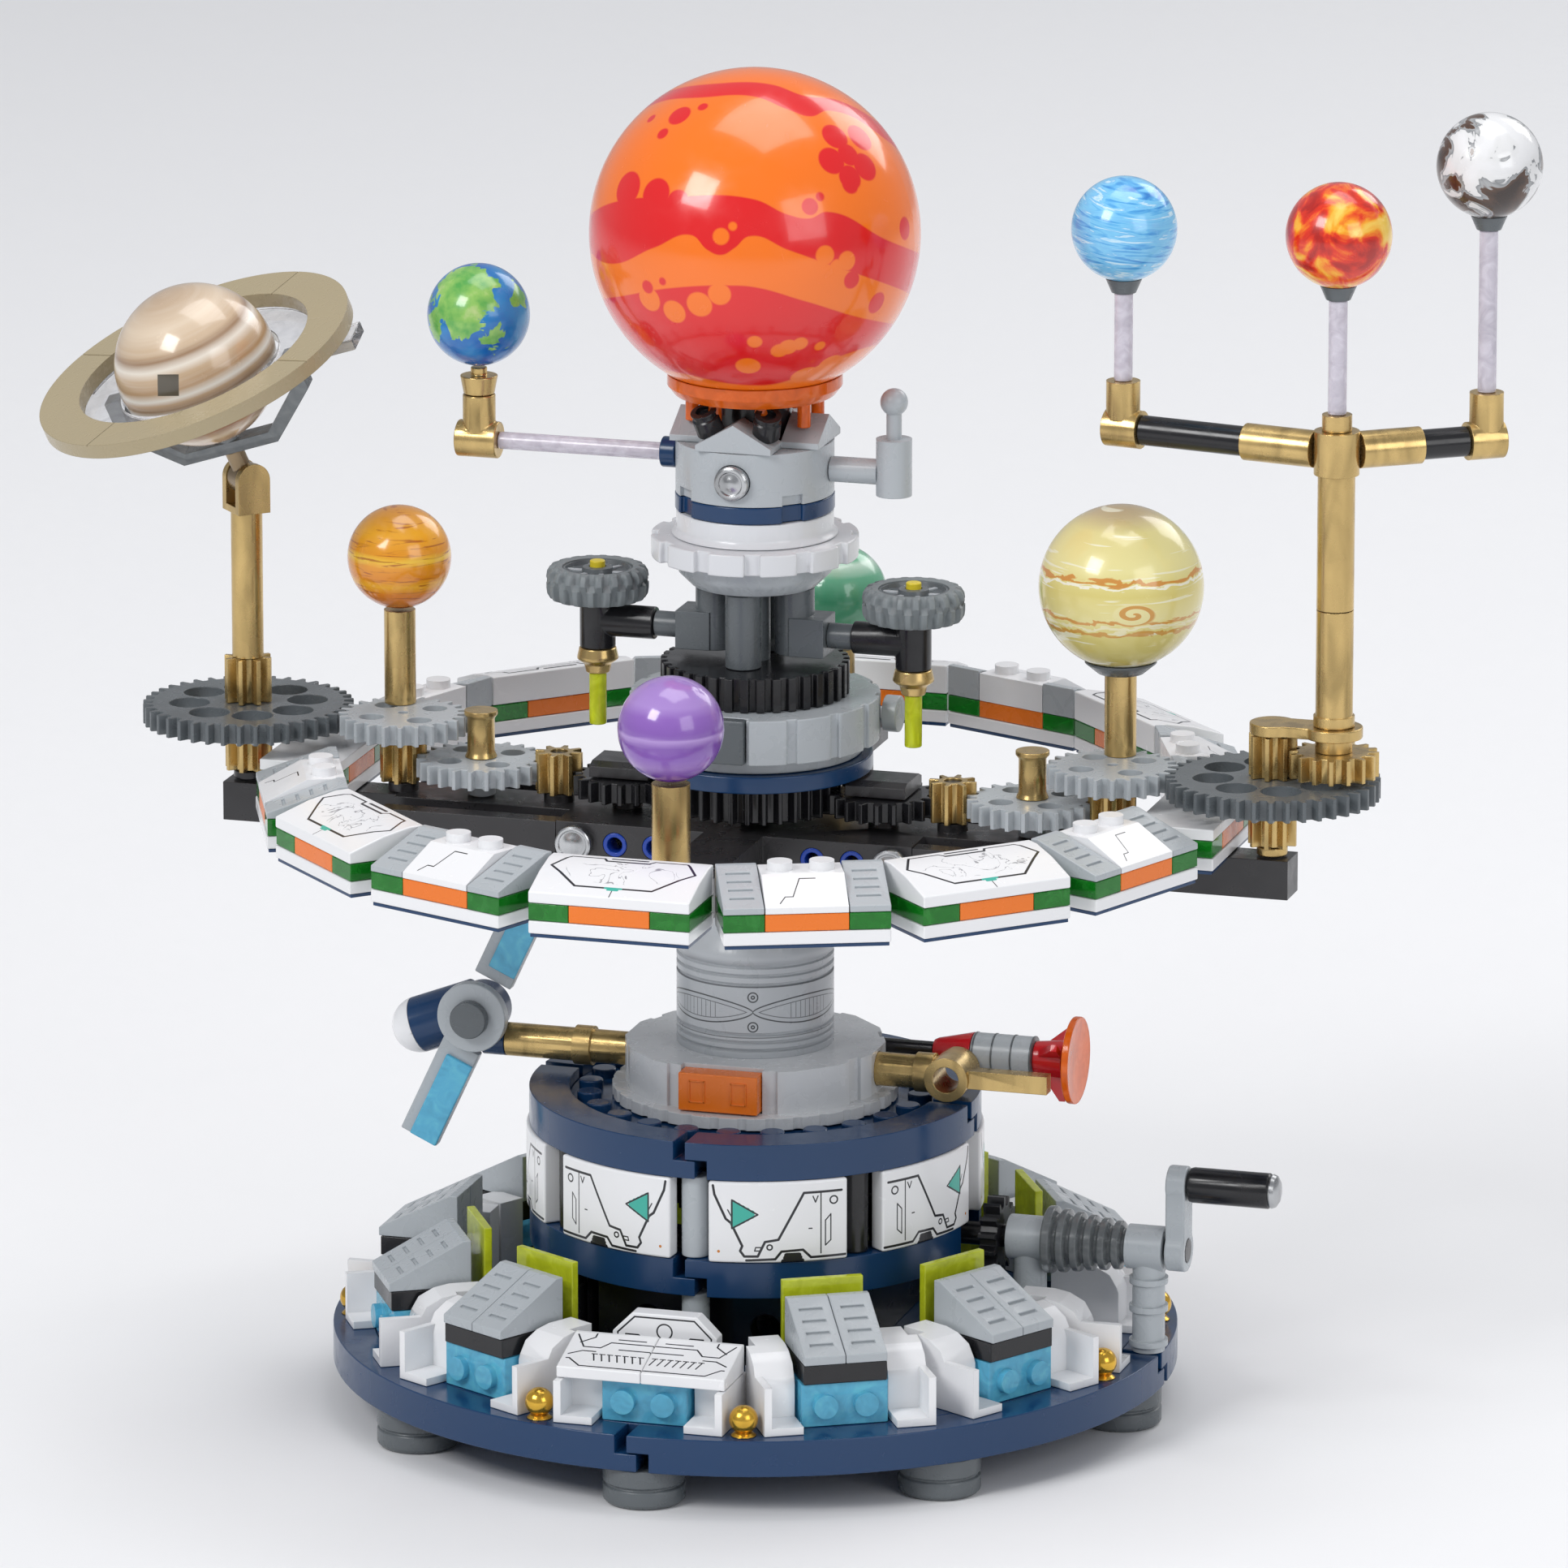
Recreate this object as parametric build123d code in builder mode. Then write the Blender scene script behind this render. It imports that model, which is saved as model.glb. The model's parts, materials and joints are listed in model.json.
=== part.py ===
"""A hand-cranked, brick-built toy orrery, in millimetres.

The origin is on the main axis at the surface it stands on.  +Z is up, -Y is the side with the
nameplate and +X is the side with the crank.
"""
import os
from math import cos, degrees, radians, sin, tau

from build123d import *

os.makedirs("parts", exist_ok=True)

# ---------------------------------------------------------------- driving dimensions
MODULE = 1.0                    # gear module: pitch diameter = number of teeth
GAP = 0.2                       # clearance between flat faces that move past each other
RUN = 0.06                      # radial clearance of a shaft in its bore

FOOT_RING_R, FOOT_R, FOOT_H = 74.5, 8.0, 8.0
RIM_R, RIM_IN_R, RIM_TOP = 83.0, 75.0, 15.2
FLOOR_TOP = RIM_TOP
WALL_MODULES = 12
PLATE_Z = FLOOR_TOP + 8.6        # underside of the plates that cap the wall modules

DRUM_R, DRUM_IN_R = 44.3, 36.4
LOWER_RING_Z, UPPER_RING_Z, DRUM_RING_H = 32.0, 55.6, 7.2
DRUM_TOP_Z = 60.6

CRANK_Z = 36.0
AXLE_R = 2.3
CROWN_R = 18.0                  # pitch radius of the two crown gears
PINION_TEETH, CROWN_TEETH = 12, 36

SHAFT_R = 3.0                   # inner shaft, turns the column
TUBE_R = 6.5                    # outer tube, turns the carrier

WAIST_Z, WAIST_TOP = 61.0, 72.0
SLEEVE_TOP = 109.0
BEAM_Z, BEAM_TOP = 109.0, 117.0
GEAR_Z = 119.0                  # level on which the gear trains stand

SUN_TEETH, IDLER_TEETH, SMALL_TEETH, MID_TEETH, OUTER_TEETH, HOLDER_TEETH = 32, 20, 8, 24, 40, 16
IDLER_X = (SUN_TEETH + IDLER_TEETH) / 2
SMALL_X = IDLER_X + (IDLER_TEETH + SMALL_TEETH) / 2
MID_X = SMALL_X + (SMALL_TEETH + MID_TEETH) / 2
PLANET_X = MID_X + (MID_TEETH + SMALL_TEETH) / 2
OUTER_X = PLANET_X + (MID_TEETH + OUTER_TEETH) / 2
HOLDER_X = OUTER_X + (SMALL_TEETH + HOLDER_TEETH) / 2

RING_MODULES = 16
RING_APOTHEM, RING_DEPTH, RING_WIDTH = 80.4, 16.0, 32.0
RING_Z = 117.0

POST_R = 3.1
ROCKET_Y, ROCKET_Z = 9.0, 70.0   # axis of the bar that the rocket turns on
SUN_R, SUN_Z = 32.0, 233.0
BIG_R, SMALL_R = 16.0, 10.2     # large and small planets
EARTH_X, EARTH_Z = -56.0, 212.0
SATURN_PIVOT = (-OUTER_X, 0.0, 177.6)
SATURN_NORMAL = Vector(-0.293, -0.277, 0.915).normalized()
SATURN_TURN = 43.4              # heading of the tilt pin, square to the way the ring leans
ARM_ENDS = ((45.0, 170.3), (30.7, 35.5))        # reach and direction of the holder's arms
ARM_Z = 197.5


# ---------------------------------------------------------------- shared shapes
def turned(points, plane=Plane.XZ):
    """A solid of revolution about the plane's upright axis from (radius, height) points."""
    with BuildPart() as body:
        with BuildSketch(plane):
            with BuildLine():
                Polyline(*points, close=True)
            make_face()
        revolve(axis=Axis(plane.origin, plane.y_dir))
    return body.part


def disc(radius, low, high, bore=0.0):
    """A round plate or post on the Z axis, with a bore if it has one."""
    with BuildPart() as body:
        with BuildSketch(Plane.XY.offset(low)):
            Circle(radius)
            if bore:
                Circle(bore, mode=Mode.SUBTRACT)
        extrude(amount=high - low)
    return body.part


def block(size, corner, edge=0.0):
    """A box from its lowest corner, its upright edges rounded by edge."""
    with BuildPart() as body:
        with BuildSketch(Plane.XY.offset(corner[2])):
            with Locations((corner[0] + size[0] / 2, corner[1] + size[1] / 2)):
                if edge:
                    RectangleRounded(size[0], size[1], edge)
                else:
                    Rectangle(size[0], size[1])
        extrude(amount=size[2])
    return body.part


def wedge(profile, width):
    """A prism: (Y, Z) profile points, as wide as width along X and centred on it."""
    with BuildPart() as body:
        with BuildSketch(Plane.YZ.offset(-width / 2)):
            with BuildLine():
                Polyline(*profile, close=True)
            make_face()
        extrude(amount=width)
    return body.part


def rod(start, end, radius, bore=0.0):
    """A round bar between two points."""
    path = Vector(*end) - Vector(*start)
    with BuildPart() as body:
        with BuildSketch(Plane(origin=start, z_dir=path)):
            Circle(radius)
            if bore:
                Circle(bore, mode=Mode.SUBTRACT)
        extrude(amount=path.length)
    return body.part


def ball(centre, radius, cut=0.0):
    """A globe, flat at the bottom by cut."""
    with BuildPart() as body:
        with Locations(centre):
            Sphere(radius)
        if cut:
            with Locations((centre[0], centre[1], centre[2] - radius)):
                Box(2 * radius, 2 * radius, 2 * cut, mode=Mode.SUBTRACT)
    return body.part


def gear(teeth, low, high, bore, half_pitch=False, holes=0):
    """A spur gear on the Z axis with slim straight-sided teeth and round lightening holes."""
    pitch_r = MODULE * teeth / 2
    root_r, tip_r = pitch_r - 1.15 * MODULE, pitch_r + 0.75 * MODULE
    root_half, tip_half = 0.88, 0.36
    turn = 0.5 if half_pitch else 0.0
    tooth_corners = ((root_r, -root_half), (tip_r, -tip_half), (tip_r, tip_half), (root_r, root_half))
    outline = []
    for tooth in range(teeth):
        middle = tau * (tooth + turn) / teeth
        for radius, half in tooth_corners:
            angle = middle + half / pitch_r
            outline.append((radius * cos(angle), radius * sin(angle)))
    with BuildPart() as body:
        with BuildSketch(Plane.XY.offset(low)):
            with BuildLine():
                Polyline(*outline, close=True)
            make_face()
            Circle(bore, mode=Mode.SUBTRACT)
            if holes:
                with PolarLocations(pitch_r * 0.58, holes, start_angle=180 / holes):
                    Circle(pitch_r * 0.2, mode=Mode.SUBTRACT)
        extrude(amount=high - low)
    return body.part


def arc_wall(inner, outer, low, high, start, span):
    """A curved wall over part of a circle, angles in degrees."""
    with BuildPart() as body:
        with BuildSketch(Plane.XY.offset(low)):
            with BuildLine():
                near = CenterArc((0, 0), inner, start, span)
                far = CenterArc((0, 0), outer, start, span)
                Line(near @ 0, far @ 0)
                Line(near @ 1, far @ 1)
            make_face()
        extrude(amount=high - low)
    return body.part


def stepped_ring(inner, outer, low, high, pieces):
    """Ring segments whose ends step halfway up, so that neighbours interlock."""
    step = degrees(3.4 / outer)  # half the lap between neighbours
    gap = degrees(2.4 / outer)
    slack = 0.12
    middle = (low + high) / 2
    span = 360 / pieces
    with BuildPart() as body:
        for piece in range(pieces):
            start = -90 + piece * span
            add(arc_wall(inner, outer, low, high, start + step, span - 2 * step))
            add(arc_wall(inner, outer, low, middle - slack, start + span - step, 2 * step - gap))
            add(arc_wall(inner, outer, middle + slack, high, start - step + gap, 2 * step - gap))
    return body.part


def around(shape, angle):
    """The shape turned about the main axis by an angle in degrees."""
    return Rot(0, 0, angle) * shape


# ---------------------------------------------------------------- base
with BuildPart() as feet:
    foot_profile = [(0, 0), (FOOT_R - 0.8, 0), (FOOT_R, 0.8), (FOOT_R, 3.6), (FOOT_R - 0.5, 3.8),
                    (FOOT_R - 0.5, 4.2), (FOOT_R, 4.4), (FOOT_R, FOOT_H - 0.1), (0, FOOT_H - 0.1)]
    with PolarLocations(FOOT_RING_R, 8, start_angle=-90):
        add(turned(foot_profile))
    add(turned(foot_profile))

with BuildPart() as base_disc:
    add(stepped_ring(RIM_IN_R, RIM_R, FOOT_H, RIM_TOP, 4))
    add(disc(RIM_IN_R - 0.1, FOOT_H, FLOOR_TOP, bore=SHAFT_R + RUN))

NAMEPLATE_MODULE, CRANK_MODULE = 0, 3
WALL_ANGLES = [-90 + 30 * k for k in range(WALL_MODULES)]


def wall_bracket(side, tall):
    """One L bracket, with its curved top if tall, at one side of a wall module facing -Y."""
    near, far, back_far = 9.2, 16.9, 15.1
    low_z = FLOOR_TOP + 0.1

    def strip(outer_edge):
        return side * (near + outer_edge) / 2, outer_edge - near

    centre, width = strip(far)
    with BuildPart() as body:
        add(block((width, 8.0, 1.5), (centre - width / 2, -78.8, low_z)))
        fin_x = far - 1.5 if side > 0 else -far
        add(block((1.5, 16.0, 9.6 if tall else 8.3), (fin_x, -78.8, low_z)))
        add(block((width, 8.0, 8.0), (centre - width / 2, -71.4, low_z)))
        if tall:
            profile = [(-71.4, low_z + 8.0), (-71.0, 24.4), (-69.6, 26.8), (-66.6, 28.4), (-63.5, 29.0),
                       (-63.5, low_z + 8.0)]
            with Locations((centre, 0, 0)):
                add(wedge(profile, width))
            centre, width = strip(back_far)
            add(block((width, 5.8, 29.0 - low_z), (centre - width / 2, -63.5, low_z)))
    return body.part


with BuildPart() as wall_brackets:
    for k, angle in enumerate(WALL_ANGLES):
        for side in (-1, 1):
            add(around(wall_bracket(side, k != NAMEPLATE_MODULE), angle + 90))

with BuildPart() as window_bricks:
    window = block((17.0, 8.6, 8.4), (-8.5, -74.4, FLOOR_TOP + 0.1), 0.4)
    for k, angle in enumerate(WALL_ANGLES):
        if k == CRANK_MODULE:
            continue
        with Locations(Rot(0, 0, angle + 90)):
            add(window)
        for side in (-1, 1):
            with Locations(Rot(0, 0, angle + 90) * Pos(side * 4.0, -74.4, 19.4) * Rot(90, 0, 0)):
                Cylinder(2.4, 1.5, align=(Align.CENTER, Align.CENTER, Align.MIN))

with BuildPart() as vent_slopes:
    plate = block((16.4, 16.0, 3.8), (-8.2, -74.8, PLATE_Z))
    slope_profile = [(-75.2, 27.7), (-75.2, 29.4), (-60.4, 37.0), (-58.8, 37.0), (-58.8, 27.7)]
    slope = wedge(slope_profile, 8.1)
    for k, angle in enumerate(WALL_ANGLES):
        if k in (NAMEPLATE_MODULE, CRANK_MODULE):
            continue
        add(around(plate, angle + 90))
        for side in (-1, 1):
            with Locations(Rot(0, 0, angle + 90) * Pos(side * 4.12, 0, 0)):
                add(slope)

with BuildPart() as lime_panels:
    panel = block((16.0, 1.6, 24.0), (-8.0, -56.2, FLOOR_TOP + 0.1))
    for k in (1, 2, 4, 5, 7, 8, 10, 11):
        add(around(panel, 30 * k))

with BuildPart() as gold_balls:
    cup = [(0, 15.3), (2.5, 15.3), (1.8, 15.9), (0, 15.9)]
    for angle in (-105, -75, -15, 15, 75, 105, 165, 195):
        with Locations(Rot(0, 0, angle) * Pos(RIM_IN_R + 4.0, 0, 0)):
            add(turned(cup))
            add(ball((0, 0, 18.4), 2.8))

with BuildPart() as nameplate:
    plate_profile = [(-77.0, PLATE_Z), (-77.0, 26.0), (-64.8, 29.4), (-63.7, 29.4), (-63.7, PLATE_Z)]
    for side in (-1, 1):
        with Locations((side * 8.45, 0, 0)):
            add(wedge(plate_profile, 16.8))
    emblem_profile = [(-10.5, PLATE_Z), (10.5, PLATE_Z), (10.5, 29.0), (6.5, 33.0), (-6.5, 33.0),
                      (-10.5, 29.0)]
    with BuildSketch(Plane.XZ.offset(57.2)):
        with BuildLine():
            Polyline(*emblem_profile, close=True)
        make_face()
    extrude(amount=3.8)

with BuildPart() as gearbox_frame:
    low_z = FLOOR_TOP + 0.1
    for x in (-28.0, 24.0):
        add(block((4.0, 44.0, 16.6), (x, -22.0, low_z)))
    for y in (-33.0, 29.0):
        add(block((44.0, 4.0, 16.6), (-22.0, y, low_z)))
    for x in (-27.9, 24.1):
        for y in (-22.0, 16.0):
            add(block((3.8, 6.0, UPPER_RING_Z - 0.1 - low_z), (x, y, low_z)))
    add(block((4.0, 12.0, 26.4), (24.0, -6.0, low_z)))
    with Locations(Pos(26.0, 0, CRANK_Z) * Rot(0, 90, 0)):
        Cylinder(AXLE_R + RUN, 8.0, mode=Mode.SUBTRACT)
    for side in (-1, 1):
        with Locations(Pos(side * 12.0, -31.0, 23.0) * Rot(90, 0, 0)):
            Cylinder(2.5, 8.0, mode=Mode.SUBTRACT)
            Cylinder(3.1, 5.6, mode=Mode.SUBTRACT)
    for k in range(8):
        angle = radians(-90 + 45 * k)
        spot = (40.3 * cos(angle), 40.3 * sin(angle))
        if k != 2:
            add(rod((*spot, low_z), (*spot, LOWER_RING_Z - 0.1), 2.7))
            add(rod((*spot, LOWER_RING_Z + DRUM_RING_H + 0.1), (*spot, UPPER_RING_Z - 0.1), 2.7))

with BuildPart() as drum_rings:
    add(stepped_ring(DRUM_IN_R, DRUM_R, UPPER_RING_Z, UPPER_RING_Z + DRUM_RING_H, 4))
    with BuildPart(mode=Mode.PRIVATE) as lower_ring:
        add(stepped_ring(DRUM_IN_R, DRUM_R, LOWER_RING_Z, LOWER_RING_Z + DRUM_RING_H, 4))
        with Locations((DRUM_R - 4, 0, CRANK_Z)):
            Box(16.0, 13.0, 12.0, mode=Mode.SUBTRACT)
    add(lower_ring.part)
    add(disc(DRUM_IN_R - 0.1, UPPER_RING_Z, DRUM_TOP_Z, bore=TUBE_R + RUN))

with BuildPart() as drum_panels:
    curved_panel = arc_wall(40.8, 44.9, LOWER_RING_Z + DRUM_RING_H + 0.1, UPPER_RING_Z - 0.1, -17.6, 35.2)
    for k in range(8):
        add(around(curved_panel, -67.5 + 45 * k))

with BuildPart() as crank_supports:
    inner_x, outer_x = 56.0, 80.0
    for x, leg_r, foot_z in ((inner_x, 3.3, FLOOR_TOP), (outer_x, 3.2, RIM_TOP)):
        add(rod((x, 0, foot_z + 0.05), (x, 0, CRANK_Z), leg_r))
        add(rod((x - 4.0, 0, CRANK_Z), (x + 3.4, 0, CRANK_Z), 4.4))
    for z in (16.4, 23.4, 29.0):
        add(Pos(outer_x, 0, 0) * disc(3.8, z, z + 1.2))
    with Locations(Pos(68.0, 0, CRANK_Z) * Rot(0, 90, 0)):
        Cylinder(AXLE_R + RUN, 40.0, mode=Mode.SUBTRACT)

    ridges = [(AXLE_R + 0.9, 0.0), (6.4, 0.0)]
    for fold in range(6):
        radius = 6.6 - 0.36 * fold
        ridges += [(radius, 0.4 + 2.7 * fold), (radius, 1.7 + 2.7 * fold), (radius - 1.5, 2.1 + 2.7 * fold),
                   (radius - 1.5, 2.7 + 2.7 * fold)]
    ridges += [(3.9, 16.4), (AXLE_R + 0.9, 16.4)]
    add(turned(ridges, Plane(origin=(59.5, 0, CRANK_Z), x_dir=(0, 0, 1), z_dir=(0, 1, 0))))

# ---------------------------------------------------------------- crank
CRANK_ARM_X, GRIP_OFFSET = 84.0, 13.4
PINION_X = CROWN_R
PINION_PLANE = Plane(origin=(0, 0, CRANK_Z), x_dir=(0, 0, -1), z_dir=(1, 0, 0))

with BuildPart() as crank_axle:
    add(rod((12.0, 0, CRANK_Z), (CRANK_ARM_X + 3.9, 0, CRANK_Z), AXLE_R))
    drive_pinion = gear(PINION_TEETH, PINION_X - 1.8, PINION_X + 1.8, AXLE_R - 0.3, half_pitch=True)
    add(PINION_PLANE.location * drive_pinion)
    add(PINION_PLANE.location * gear(14, 47.4, 50.8, AXLE_R - 0.3))

with BuildPart() as crank_arm:
    with BuildSketch(Plane.YZ.offset(CRANK_ARM_X)):
        with Locations((0, CRANK_Z)):
            Circle(4.2)
        with Locations((0, CRANK_Z + GRIP_OFFSET)):
            Circle(3.6)
        with Locations((0, CRANK_Z + GRIP_OFFSET / 2)):
            Rectangle(6.4, GRIP_OFFSET)
        with Locations((0, CRANK_Z)):
            Circle(AXLE_R, mode=Mode.SUBTRACT)
    extrude(amount=3.9)
    add(rod((CRANK_ARM_X + 3.9, 0, CRANK_Z + GRIP_OFFSET), (104.0, 0, CRANK_Z + GRIP_OFFSET), 1.6))

with BuildPart() as crank_grip:
    grip_profile = [(1.6 + RUN, 0), (3.5, 0), (3.5, 17.3), (3.1, 17.9), (2.2, 18.2), (0, 18.2), (0, 16.4),
                    (1.6 + RUN, 16.4)]
    grip_start = (CRANK_ARM_X + 4.1, 0, CRANK_Z + GRIP_OFFSET)
    grip_plane = Plane(origin=grip_start, x_dir=(0, 0, 1), z_dir=(0, 1, 0))
    add(turned(grip_profile, grip_plane))

# ---------------------------------------------------------------- carrier: tube, waist and sleeve
CROWN_TOOTH = block((4.4, 0.9, 2.0), (CROWN_R - 2.2, -0.45, 0))

with BuildPart() as drive_tube:
    crown_low = CRANK_Z + PINION_TEETH / 2 + 1.3
    add(disc(21.0, crown_low, crown_low + 2.4, bore=SHAFT_R + RUN))
    with PolarLocations(0, CROWN_TEETH):
        add(Pos(0, 0, crown_low - 1.9) * CROWN_TOOTH)
    add(disc(TUBE_R, crown_low, WAIST_Z, bore=SHAFT_R + RUN))

with BuildPart() as waist:
    with BuildPart(mode=Mode.PRIVATE) as scalloped:
        add(disc(28.0, WAIST_Z, WAIST_Z + 2.4, bore=SHAFT_R + RUN))
        with PolarLocations(28.4, 32):
            Cylinder(1.0, 200.0, mode=Mode.SUBTRACT)
    add(scalloped.part)
    with BuildPart(mode=Mode.PRIVATE) as notched:
        with BuildSketch(Plane.XY.offset(WAIST_Z + 2.4)):
            RegularPolygon(25.6, 16, rotation=11.25)
            with PolarLocations(25.4, 8, start_angle=22.5):
                Rectangle(2.2, 3.4, mode=Mode.SUBTRACT)
            Circle(SHAFT_R + RUN, mode=Mode.SUBTRACT)
        extrude(amount=WAIST_TOP - WAIST_Z - 2.4)
        for angle in (-90, 90):
            with Locations(Rot(0, 0, angle) * Pos(24.0, 0, (WAIST_TOP + WAIST_Z + 2.4) / 2)):
                Box(6.0, 16.4, 20.0, mode=Mode.SUBTRACT)
        for side in (-1, 1):
            with Locations(Pos(side * 22.0, 0, 67.8) * Rot(0, 90, 0)):
                Cylinder(3.4, 12.0, mode=Mode.SUBTRACT)
        with Locations(Pos(22.0, ROCKET_Y, ROCKET_Z) * Rot(0, 90, 0)):
            Cylinder(1.5 + RUN, 14.0, mode=Mode.SUBTRACT)
    add(notched.part)
    for angle in (-90, 90):
        with Locations(Rot(0, 0, angle)):
            add(block((4.6, 16.0, 7.6), (21.1, -8.0, WAIST_Z + 2.7)))

with BuildPart() as ridged_sleeve:
    sleeve_profile = [(SHAFT_R + RUN, WAIST_TOP), (15.4, WAIST_TOP)]
    for z in (73.4, 75.0, 76.6):
        sleeve_profile += [(15.4, z - 0.2), (14.9, z), (14.9, z + 0.35), (15.4, z + 0.55)]
    for z in (86.6, 88.4, 90.2):
        sleeve_profile += [(15.4, z - 0.2), (14.9, z), (14.9, z + 0.35), (15.4, z + 0.55)]
    sleeve_profile += [(15.4, 92.6), (13.6, 95.6), (13.2, SLEEVE_TOP), (SHAFT_R + RUN, SLEEVE_TOP)]
    add(turned(sleeve_profile))

LINK_Z = GEAR_Z + 22.2
with BuildPart() as beams:
    with BuildPart(mode=Mode.PRIVATE) as centre_block:
        with BuildSketch(Plane.XY.offset(BEAM_Z)):
            Rectangle(72.0, 30.0)
            with Locations((-54.0, 0), (54.0, 0)):
                Rectangle(36.0, 12.0)
            Rectangle(12.0, 124.0)
            Circle(SHAFT_R + RUN, mode=Mode.SUBTRACT)
            with Locations((-MID_X, 0), (MID_X, 0)):
                Circle(1.9, mode=Mode.SUBTRACT)
        extrude(amount=BEAM_TOP - BEAM_Z)
        for side in (-1, 1):
            for x in (16.0, 24.0, 32.0):
                with Locations(Pos(side * x, 0, 113.0) * Rot(90, 0, 0)):
                    Cylinder(2.45, 40.0, mode=Mode.SUBTRACT)
    add(centre_block.part)
    for side in (-1, 1):
        add(block((36.0, 8.0, 7.7), (min(side * 72.1, side * 108.1), -4.0, BEAM_TOP - 7.9)))
        for y in (-15.0, 11.0):
            add(block((36.0, 4.0, 7.2), (min(side * 36.1, side * 72.1), y, BEAM_TOP - 7.4)))
    for angle in (0, 180):
        add(around(block((8.0, 17.4, 3.6), (-4.0, 62.1, BEAM_TOP - 3.8)), angle))
    hump = [(-6.0, BEAM_TOP + 6.9), (6.0, BEAM_TOP + 6.9), (6.0, BEAM_TOP + 9.0), (4.0, BEAM_TOP + 9.8),
            (-4.0, BEAM_TOP + 9.8), (-6.0, BEAM_TOP + 9.0)]
    for side in (-1, 1):
        with Locations((side * IDLER_X, 0, 0)):
            add(wedge(hump, 12.0))
            add(disc(1.8, BEAM_TOP - 0.2, BEAM_TOP + 7.0))
            add(disc(3.0, BEAM_TOP - 0.2, GEAR_Z + 0.4))
        for x, top in ((SMALL_X, GEAR_Z + 7.6), (PLANET_X, GEAR_Z + 9.3)):
            with Locations((side * x, 0, 0)):
                add(disc(1.7, BEAM_TOP, top))
                add(disc(3.0, BEAM_TOP, GEAR_Z - GAP))

with BuildPart() as beam_fittings:
    for side in (-1, 1):
        for front in (-1, 1):
            for x in (16.0, 24.0):
                with BuildPart(mode=Mode.PRIVATE) as pin:
                    with Locations(Pos(side * x, front * 12.4, 113.0) * Rot(90, 0, 0)):
                        Cylinder(2.4, 5.6)
                        Cylinder(1.5, 6.0, mode=Mode.SUBTRACT)
                add(pin.part)
            with Locations(Pos(side * 32.0, front * 12.4, 113.0) * Rot(90, 0, 0)):
                Cylinder(2.4, 5.1)
            with Locations(Pos(side * 32.0, front * 15.9, 113.0) * Rot(90, 0, 0)):
                Cylinder(3.6, 1.7)
    for side, top in ((-1, GEAR_Z + 13.6), (1, LINK_Z + 2.2)):
        with Locations((side * OUTER_X, 0, 0)):
            add(disc(1.7, BEAM_TOP + 0.1, top))
            add(disc(3.0, BEAM_TOP + 0.1, GEAR_Z - GAP))
    with BuildSketch(Plane.XY.offset(LINK_Z)):
        with Locations((OUTER_X, 0)):
            Circle(4.6)
        with Locations(((OUTER_X + HOLDER_X) / 2, 0)):
            Rectangle(HOLDER_X - OUTER_X, 7.4)
        with Locations((HOLDER_X, 0)):
            Circle(5.6)
            Circle(3.6 + RUN, mode=Mode.SUBTRACT)
    extrude(amount=2.2)

with BuildPart() as gold_arms:
    for side, reach in ((-1, 50.6), (1, 37.0)):
        add(rod((side * 18.0, 0, 67.8), (side * reach, 0, 67.8), 3.3))
        add(rod((side * 33.0, 0, 67.8), (side * 36.6, 0, 67.8), 3.9))
    add(rod((40.0, -4.6, 67.8), (40.0, 4.6, 67.8), 4.4, bore=2.6))
    add(block((16.2, 3.2, 3.6), (43.8, -3.2, 66.0)))
    for y in (-56.0, 56.0):
        add(Pos(0, y, 0) * disc(3.7, BEAM_TOP, 137.4))

RING_ANGLES = [-90 + 22.5 * k for k in range(RING_MODULES)]
LOW_MODULES = (4, 12)           # under the outer gears there is only a low flat plate
OUTER_FACE = -(RING_APOTHEM + RING_DEPTH)
INNER_FACE = -RING_APOTHEM
LAYER_Z, TOP_Z = RING_Z + 2.6, RING_Z + 6.0


def at_module(shape, k):
    """A ring piece made at the front of the ring, turned to its own place."""
    return around(shape, RING_ANGLES[k] + 90)


with BuildPart() as ring_plates:
    ring_plate = block((RING_WIDTH - 0.2, RING_DEPTH, 2.5), (-RING_WIDTH / 2 + 0.1, OUTER_FACE, RING_Z))
    for k in range(RING_MODULES):
        add(at_module(ring_plate, k))

with BuildPart() as ring_lights:
    for k in range(RING_MODULES):
        for x in (-15.9, 8.05):
            add(at_module(block((7.85, RING_DEPTH - 0.4, 3.3), (x, OUTER_FACE + 0.2, LAYER_Z)), k))

with BuildPart() as ring_orange:
    for k in range(RING_MODULES):
        add(at_module(block((15.9, RING_DEPTH - 0.4, 3.3), (-7.95, OUTER_FACE + 0.2, LAYER_Z)), k))

with BuildPart() as ring_panels:
    panel_profile = [(OUTER_FACE, TOP_Z), (OUTER_FACE, TOP_Z + 2.2), (OUTER_FACE + 7.2, TOP_Z + 4.6),
                     (OUTER_FACE + 13.0, TOP_Z + 5.8), (INNER_FACE, TOP_Z + 5.8), (INNER_FACE, TOP_Z)]
    ring_panel = wedge(panel_profile, RING_WIDTH - 0.2)
    for k in range(0, RING_MODULES, 2):
        if k not in LOW_MODULES:
            add(at_module(ring_panel, k))

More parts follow.
